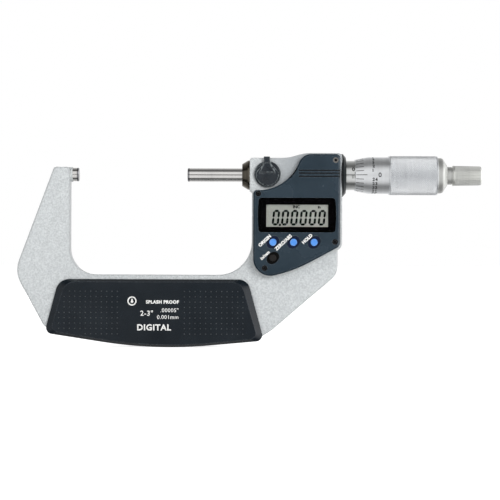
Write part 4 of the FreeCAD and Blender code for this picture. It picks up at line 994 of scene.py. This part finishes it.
def engraved_line(x_start, x_end, z_start, z_end, radius):
    """A thin filled line on a cylinder round the X axis, from one corner to the other."""
    bpy.ops.object.select_all(action="DESELECT")
    bpy.ops.mesh.primitive_cube_add(size=1)
    line = bpy.context.object
    line.scale = (x_end - x_start, 2 * ENGRAVED_RISE, z_end - z_start)
    line.location = ((x_start + x_end) / 2, 0, (z_start + z_end) / 2)
    settle(line, "line", None)
    slice_across(line, 0.4 * mm)
    wrap(line, radius)
    return line


LINE_WIDTH = 0.20 * mm
marks = [
    engraved_line(124.6 * mm, 155.6 * mm, -0.12 * mm, 0.12 * mm, SLEEVE_RADIUS)
]
short_line = engraved_line(
    sleeve_zero - LINE_WIDTH / 2, sleeve_zero + LINE_WIDTH / 2, -1.7 * mm, 0.05 * mm,
    SLEEVE_RADIUS,
)
long_line = engraved_line(
    sleeve_zero - LINE_WIDTH / 2, sleeve_zero + LINE_WIDTH / 2, -1.7 * mm, 1.4 * mm,
    SLEEVE_RADIUS,
)
short_places = [k * DIVISION for k in range(-2, 41) if k % 4]
long_places = [k * DIVISION for k in range(0, 41, 4)]
marks.append(repeat(short_line, [Matrix.Translation((x, 0, 0)) for x in short_places]))
marks.append(repeat(long_line, [Matrix.Translation((x, 0, 0)) for x in long_places]))
for tenth in range(11):
    place = sleeve_zero / mm + tenth * 4 * DIVISION / mm - 0.75
    figure = lettering(str(tenth % 10), 1.8, place, 0, 2.75, 0, 0.10, 1.0, 0.016)
    slice_across(figure, 0.4 * mm)
    wrap(figure, SLEEVE_RADIUS)
    marks.append(figure)
sleeve_marks = settle(join(*marks), "sleeve_marks", engraving)
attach(sleeve_marks, "frame")

# Thimble: a turned steel sleeve in satin chrome, bevelled at its reading edge to 25
# divisions with figures, and diamond knurled over its larger end.
thimble_low, thimble_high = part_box("thimble")
EDGE_X = thimble_low.x
BEVEL_END = EDGE_X + 6.1 * mm
GRIP_START = EDGE_X + 15.8 * mm
GRIP_END = thimble_high.x
BORE = 6.95 * mm
EDGE_RADIUS = 7.25 * mm
BODY_RADIUS = 8.5 * mm
GRIP_RADIUS = 9.15 * mm
KNURL_ROOT = 8.80 * mm
THIMBLE_OUTLINE = [
    (EDGE_X, BORE), (EDGE_X, EDGE_RADIUS - 0.05 * mm), (EDGE_X + 0.05 * mm, EDGE_RADIUS),
    (BEVEL_END, BODY_RADIUS), (GRIP_START, BODY_RADIUS), (GRIP_START, 9.0 * mm),
    (GRIP_START + 0.12 * mm, 9.12 * mm), (GRIP_START + 0.3 * mm, 9.12 * mm),
    (GRIP_START + 0.5 * mm, KNURL_ROOT - 0.06 * mm),
    (GRIP_END - 0.5 * mm, KNURL_ROOT - 0.06 * mm), (GRIP_END - 0.3 * mm, 9.10 * mm),
    (GRIP_END - 0.1 * mm, 9.10 * mm), (GRIP_END, 9.0 * mm), (GRIP_END, 3.33 * mm),
    (GRIP_END - 2.8 * mm, 3.88 * mm), (GRIP_END - 2.8 * mm, BORE),
]


def spun(name, outline, steps, finish):
    """A solid turned round the X axis from a closed outline of (x, radius) corners."""
    bpy.ops.object.select_all(action="DESELECT")
    bpy.ops.mesh.primitive_plane_add(size=1 * mm)
    piece = bpy.context.object
    edit(piece, "VERT", lambda vertex: vertex.index > 0)
    bpy.ops.mesh.delete(type="VERT")
    bpy.ops.mesh.select_all(action="SELECT")
    mesh = bmesh.from_edit_mesh(piece.data)
    mesh.verts.ensure_lookup_table()
    mesh.verts[0].co = (outline[0][0], -outline[0][1], 0)
    bmesh.update_edit_mesh(piece.data)
    corners = outline[1:] + outline[:1]
    here = outline[0]
    for x, radius in corners:
        step = (x - here[0], here[1] - radius, 0)
        bpy.ops.mesh.extrude_region_move(TRANSFORM_OT_translate={"value": step})
        here = (x, radius)
    bpy.ops.mesh.select_all(action="SELECT")
    bpy.ops.mesh.remove_doubles(threshold=0.001 * mm)
    bpy.ops.mesh.select_all(action="SELECT")
    bpy.ops.mesh.spin(
        steps=steps, angle=2 * math.pi, center=(0, 0, 0), axis=(1, 0, 0), dupli=False
    )
    bpy.ops.mesh.select_all(action="SELECT")
    bpy.ops.mesh.remove_doubles(threshold=0.001 * mm)
    bpy.ops.mesh.select_all(action="SELECT")
    bpy.ops.mesh.normals_make_consistent(inside=False)
    close_edit()
    return settle(piece, name, finish)


thimble = spun("thimble_body", THIMBLE_OUTLINE, 160, thimble_chrome)
select_only(thimble)
bpy.ops.object.shade_smooth_by_angle(angle=math.radians(20))
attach(thimble, "spindle")
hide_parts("thimble")

KNURL_COLUMNS = 124
knurl_start = GRIP_START + 0.45 * mm
knurl_end = GRIP_END - 0.45 * mm
KNURL_ROWS = 2 * round((knurl_end - knurl_start) / (math.pi * GRIP_RADIUS / KNURL_COLUMNS) / 4)
bpy.ops.object.select_all(action="DESELECT")
bpy.ops.mesh.primitive_cylinder_add(
    vertices=KNURL_COLUMNS, radius=KNURL_ROOT, depth=knurl_end - knurl_start,
    end_fill_type="NOTHING", location=((knurl_start + knurl_end) / 2, 0, 0),
    rotation=(0, math.pi / 2, 0),
)
knurl = settle(bpy.context.object, "thimble_knurl", None)
edit(knurl, "EDGE", lambda e: abs(e.verts[0].co.x - e.verts[1].co.x) > 1 * mm)
bpy.ops.mesh.subdivide(number_cuts=KNURL_ROWS - 1)
close_edit()
row_length = (knurl_end - knurl_start) / KNURL_ROWS


def on_peak(vertex):
    """True for every other crossing of the knurl's net, away from its two ends."""
    row = round((vertex.co.x - knurl_start) / row_length)
    turn = math.atan2(vertex.co.z, -vertex.co.y) / (2 * math.pi)
    column = round(turn * KNURL_COLUMNS + KNURL_COLUMNS)
    return 0 < row < KNURL_ROWS and (row + column) % 2 == 1


edit(knurl, "VERT", on_peak)
swell = GRIP_RADIUS / KNURL_ROOT - 0.001
bpy.ops.transform.resize(
    value=(1, swell, swell), center_override=((knurl_start + knurl_end) / 2, 0, 0)
)
bpy.ops.mesh.select_all(action="SELECT")
bpy.ops.mesh.quads_convert_to_tris(quad_method="SHORTEST_DIAGONAL")
close_edit()
settle(knurl, "thimble_knurl", thimble_chrome)
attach(knurl, "spindle")

slope = math.atan2(BODY_RADIUS - EDGE_RADIUS, BEVEL_END - EDGE_X)


def bevel_line(length):
    """A filled line that lies along the thimble's bevel, at the front."""
    bpy.ops.object.select_all(action="DESELECT")
    bpy.ops.mesh.primitive_cube_add(size=1)
    line = bpy.context.object
    line.scale = (length, 2 * ENGRAVED_RISE, 0.27 * mm)
    settle(line, "line", None)
    edit(line, "FACE", lambda face: face.normal.y < -0.9)
    bpy.ops.mesh.inset(thickness=0.02 * mm)
    close_edit()
    start = EDGE_X + 0.35 * mm
    middle_x = start + length / 2 * math.cos(slope)
    radius = EDGE_RADIUS + (middle_x - EDGE_X) * math.tan(slope)
    line.data.transform(Matrix.Rotation(-slope, 4, "Z"))
    line.data.transform(Matrix.Translation((middle_x, -radius, 0)))
    return line


def round_axis(degrees):
    """A turn about the X axis that carries the front upwards."""
    return Matrix.Rotation(math.radians(-degrees), 4, "X")


marks = [bevel_line(5.2 * mm)]
other_lines = bevel_line(3.6 * mm)
marks.append(repeat(other_lines, [round_axis(k * 14.4) for k in range(1, 25)]))
for k in range(25):
    if k == 0:
        figure = lettering("0", 2.1, 140.2, 0, 0, 0, 0.05, 1.0, 0.016)
    else:
        figure = lettering(str(k), 1.4, 136.75, 0, 0, 0, 0.09, 1.3, 0.016)
        left = min(vertex.co.x for vertex in figure.data.vertices)
        figure.data.transform(Matrix.Translation((136.75 * mm - left, 0, 0)))
    slice_across(figure, 0.35 * mm)
    wrap(figure, BODY_RADIUS)
    figure.data.transform(round_axis(k * 14.4))
    marks.append(figure)
thimble_marks = settle(join(*marks), "thimble_marks", engraving)
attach(thimble_marks, "spindle")

# Ratchet stop: a domed cap against the thimble, a click ring and a spring, and a knob
# with straight flutes behind a plain lip. One slotted screw holds them on the spindle.
knob_low, knob_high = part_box("ratchet_knob")
KNOB_START = knob_low.x
KNOB_END = knob_high.x
FLUTES = 40
FLUTE_DEPTH = 0.2 * mm
KNOB_OUTLINE = [
    (KNOB_START, 3.4 * mm), (KNOB_START, 3.95 * mm), (KNOB_START + 0.4 * mm, 3.95 * mm),
    (KNOB_START + 0.45 * mm, 4.62 * mm), (KNOB_START + 0.6 * mm, 4.75 * mm),
    (KNOB_START + 1.4 * mm, 4.75 * mm), (KNOB_START + 1.5 * mm, 4.58 * mm),
    (KNOB_START + 1.7 * mm, 4.62 * mm), (KNOB_END - 1.0 * mm, 4.45 * mm),
    (KNOB_END - 0.45 * mm, 4.28 * mm), (KNOB_END - 0.12 * mm, 3.95 * mm),
    (KNOB_END, 3.65 * mm), (KNOB_END, 3.45 * mm), (KNOB_END - 0.1 * mm, 3.40 * mm),
    (KNOB_END - 5.4 * mm, 3.40 * mm), (KNOB_END - 5.4 * mm, 1.90 * mm),
    (KNOB_START + 6.6 * mm, 1.90 * mm), (KNOB_START + 6.6 * mm, 3.40 * mm),
]
knob_chrome = turned_finish(
    "knob_chrome", srgb(218, 219, 216), srgb(238, 239, 235), 0.42, 0.52, 0.002 * mm, 5000.0
)
knob = spun("ratchet_knob_fluted", KNOB_OUTLINE, FLUTES * 4, knob_chrome)


def in_flute(vertex):
    """True for the bottom of each flute."""
    reach = math.hypot(vertex.co.y, vertex.co.z)
    turn = math.atan2(vertex.co.z, -vertex.co.y) / (2 * math.pi)
    column = round(turn * FLUTES * 4 + FLUTES * 4)
    outside = KNOB_START + 1.6 * mm < vertex.co.x < KNOB_END - 0.3 * mm
    return outside and reach > 4.2 * mm and column % 4 == 0


edit(knob, "VERT", in_flute)
shrink = 1 - FLUTE_DEPTH / (4.5 * mm)
bpy.ops.transform.resize(value=(1, shrink, shrink), center_override=(KNOB_START, 0, 0))
close_edit()
select_only(knob)
bpy.ops.object.shade_smooth_by_angle(angle=math.radians(30))
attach(knob, "ratchet")
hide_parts("ratchet_knob")
give_finish(bearing_steel, "ratchet_click_ring", "ratchet_spring", "ratchet_screw")

# Rear: a battery in a moulded holder behind a coin-slotted lid, and the data socket
# behind a screwed cap. Both are black and flush with the rounded back of the head.
rear_trim = coated_finish(
    "rear_trim", srgb(15, 16, 18), srgb(25, 27, 30), 0.36, 0.48, 3400.0, 0.005 * mm,
    90.0, (srgb(74, 78, 82), 0.0004, 0.5),
)
cell_steel = turned_finish(
    "cell_steel", srgb(176, 176, 174), srgb(205, 205, 203), 0.18, 0.28, 0.001 * mm, 5000.0
)
give_finish(rear_trim, "battery_lid", "output_cap")
give_finish(cell_steel, "battery_cell")
give_finish(bronze, "battery_contact")
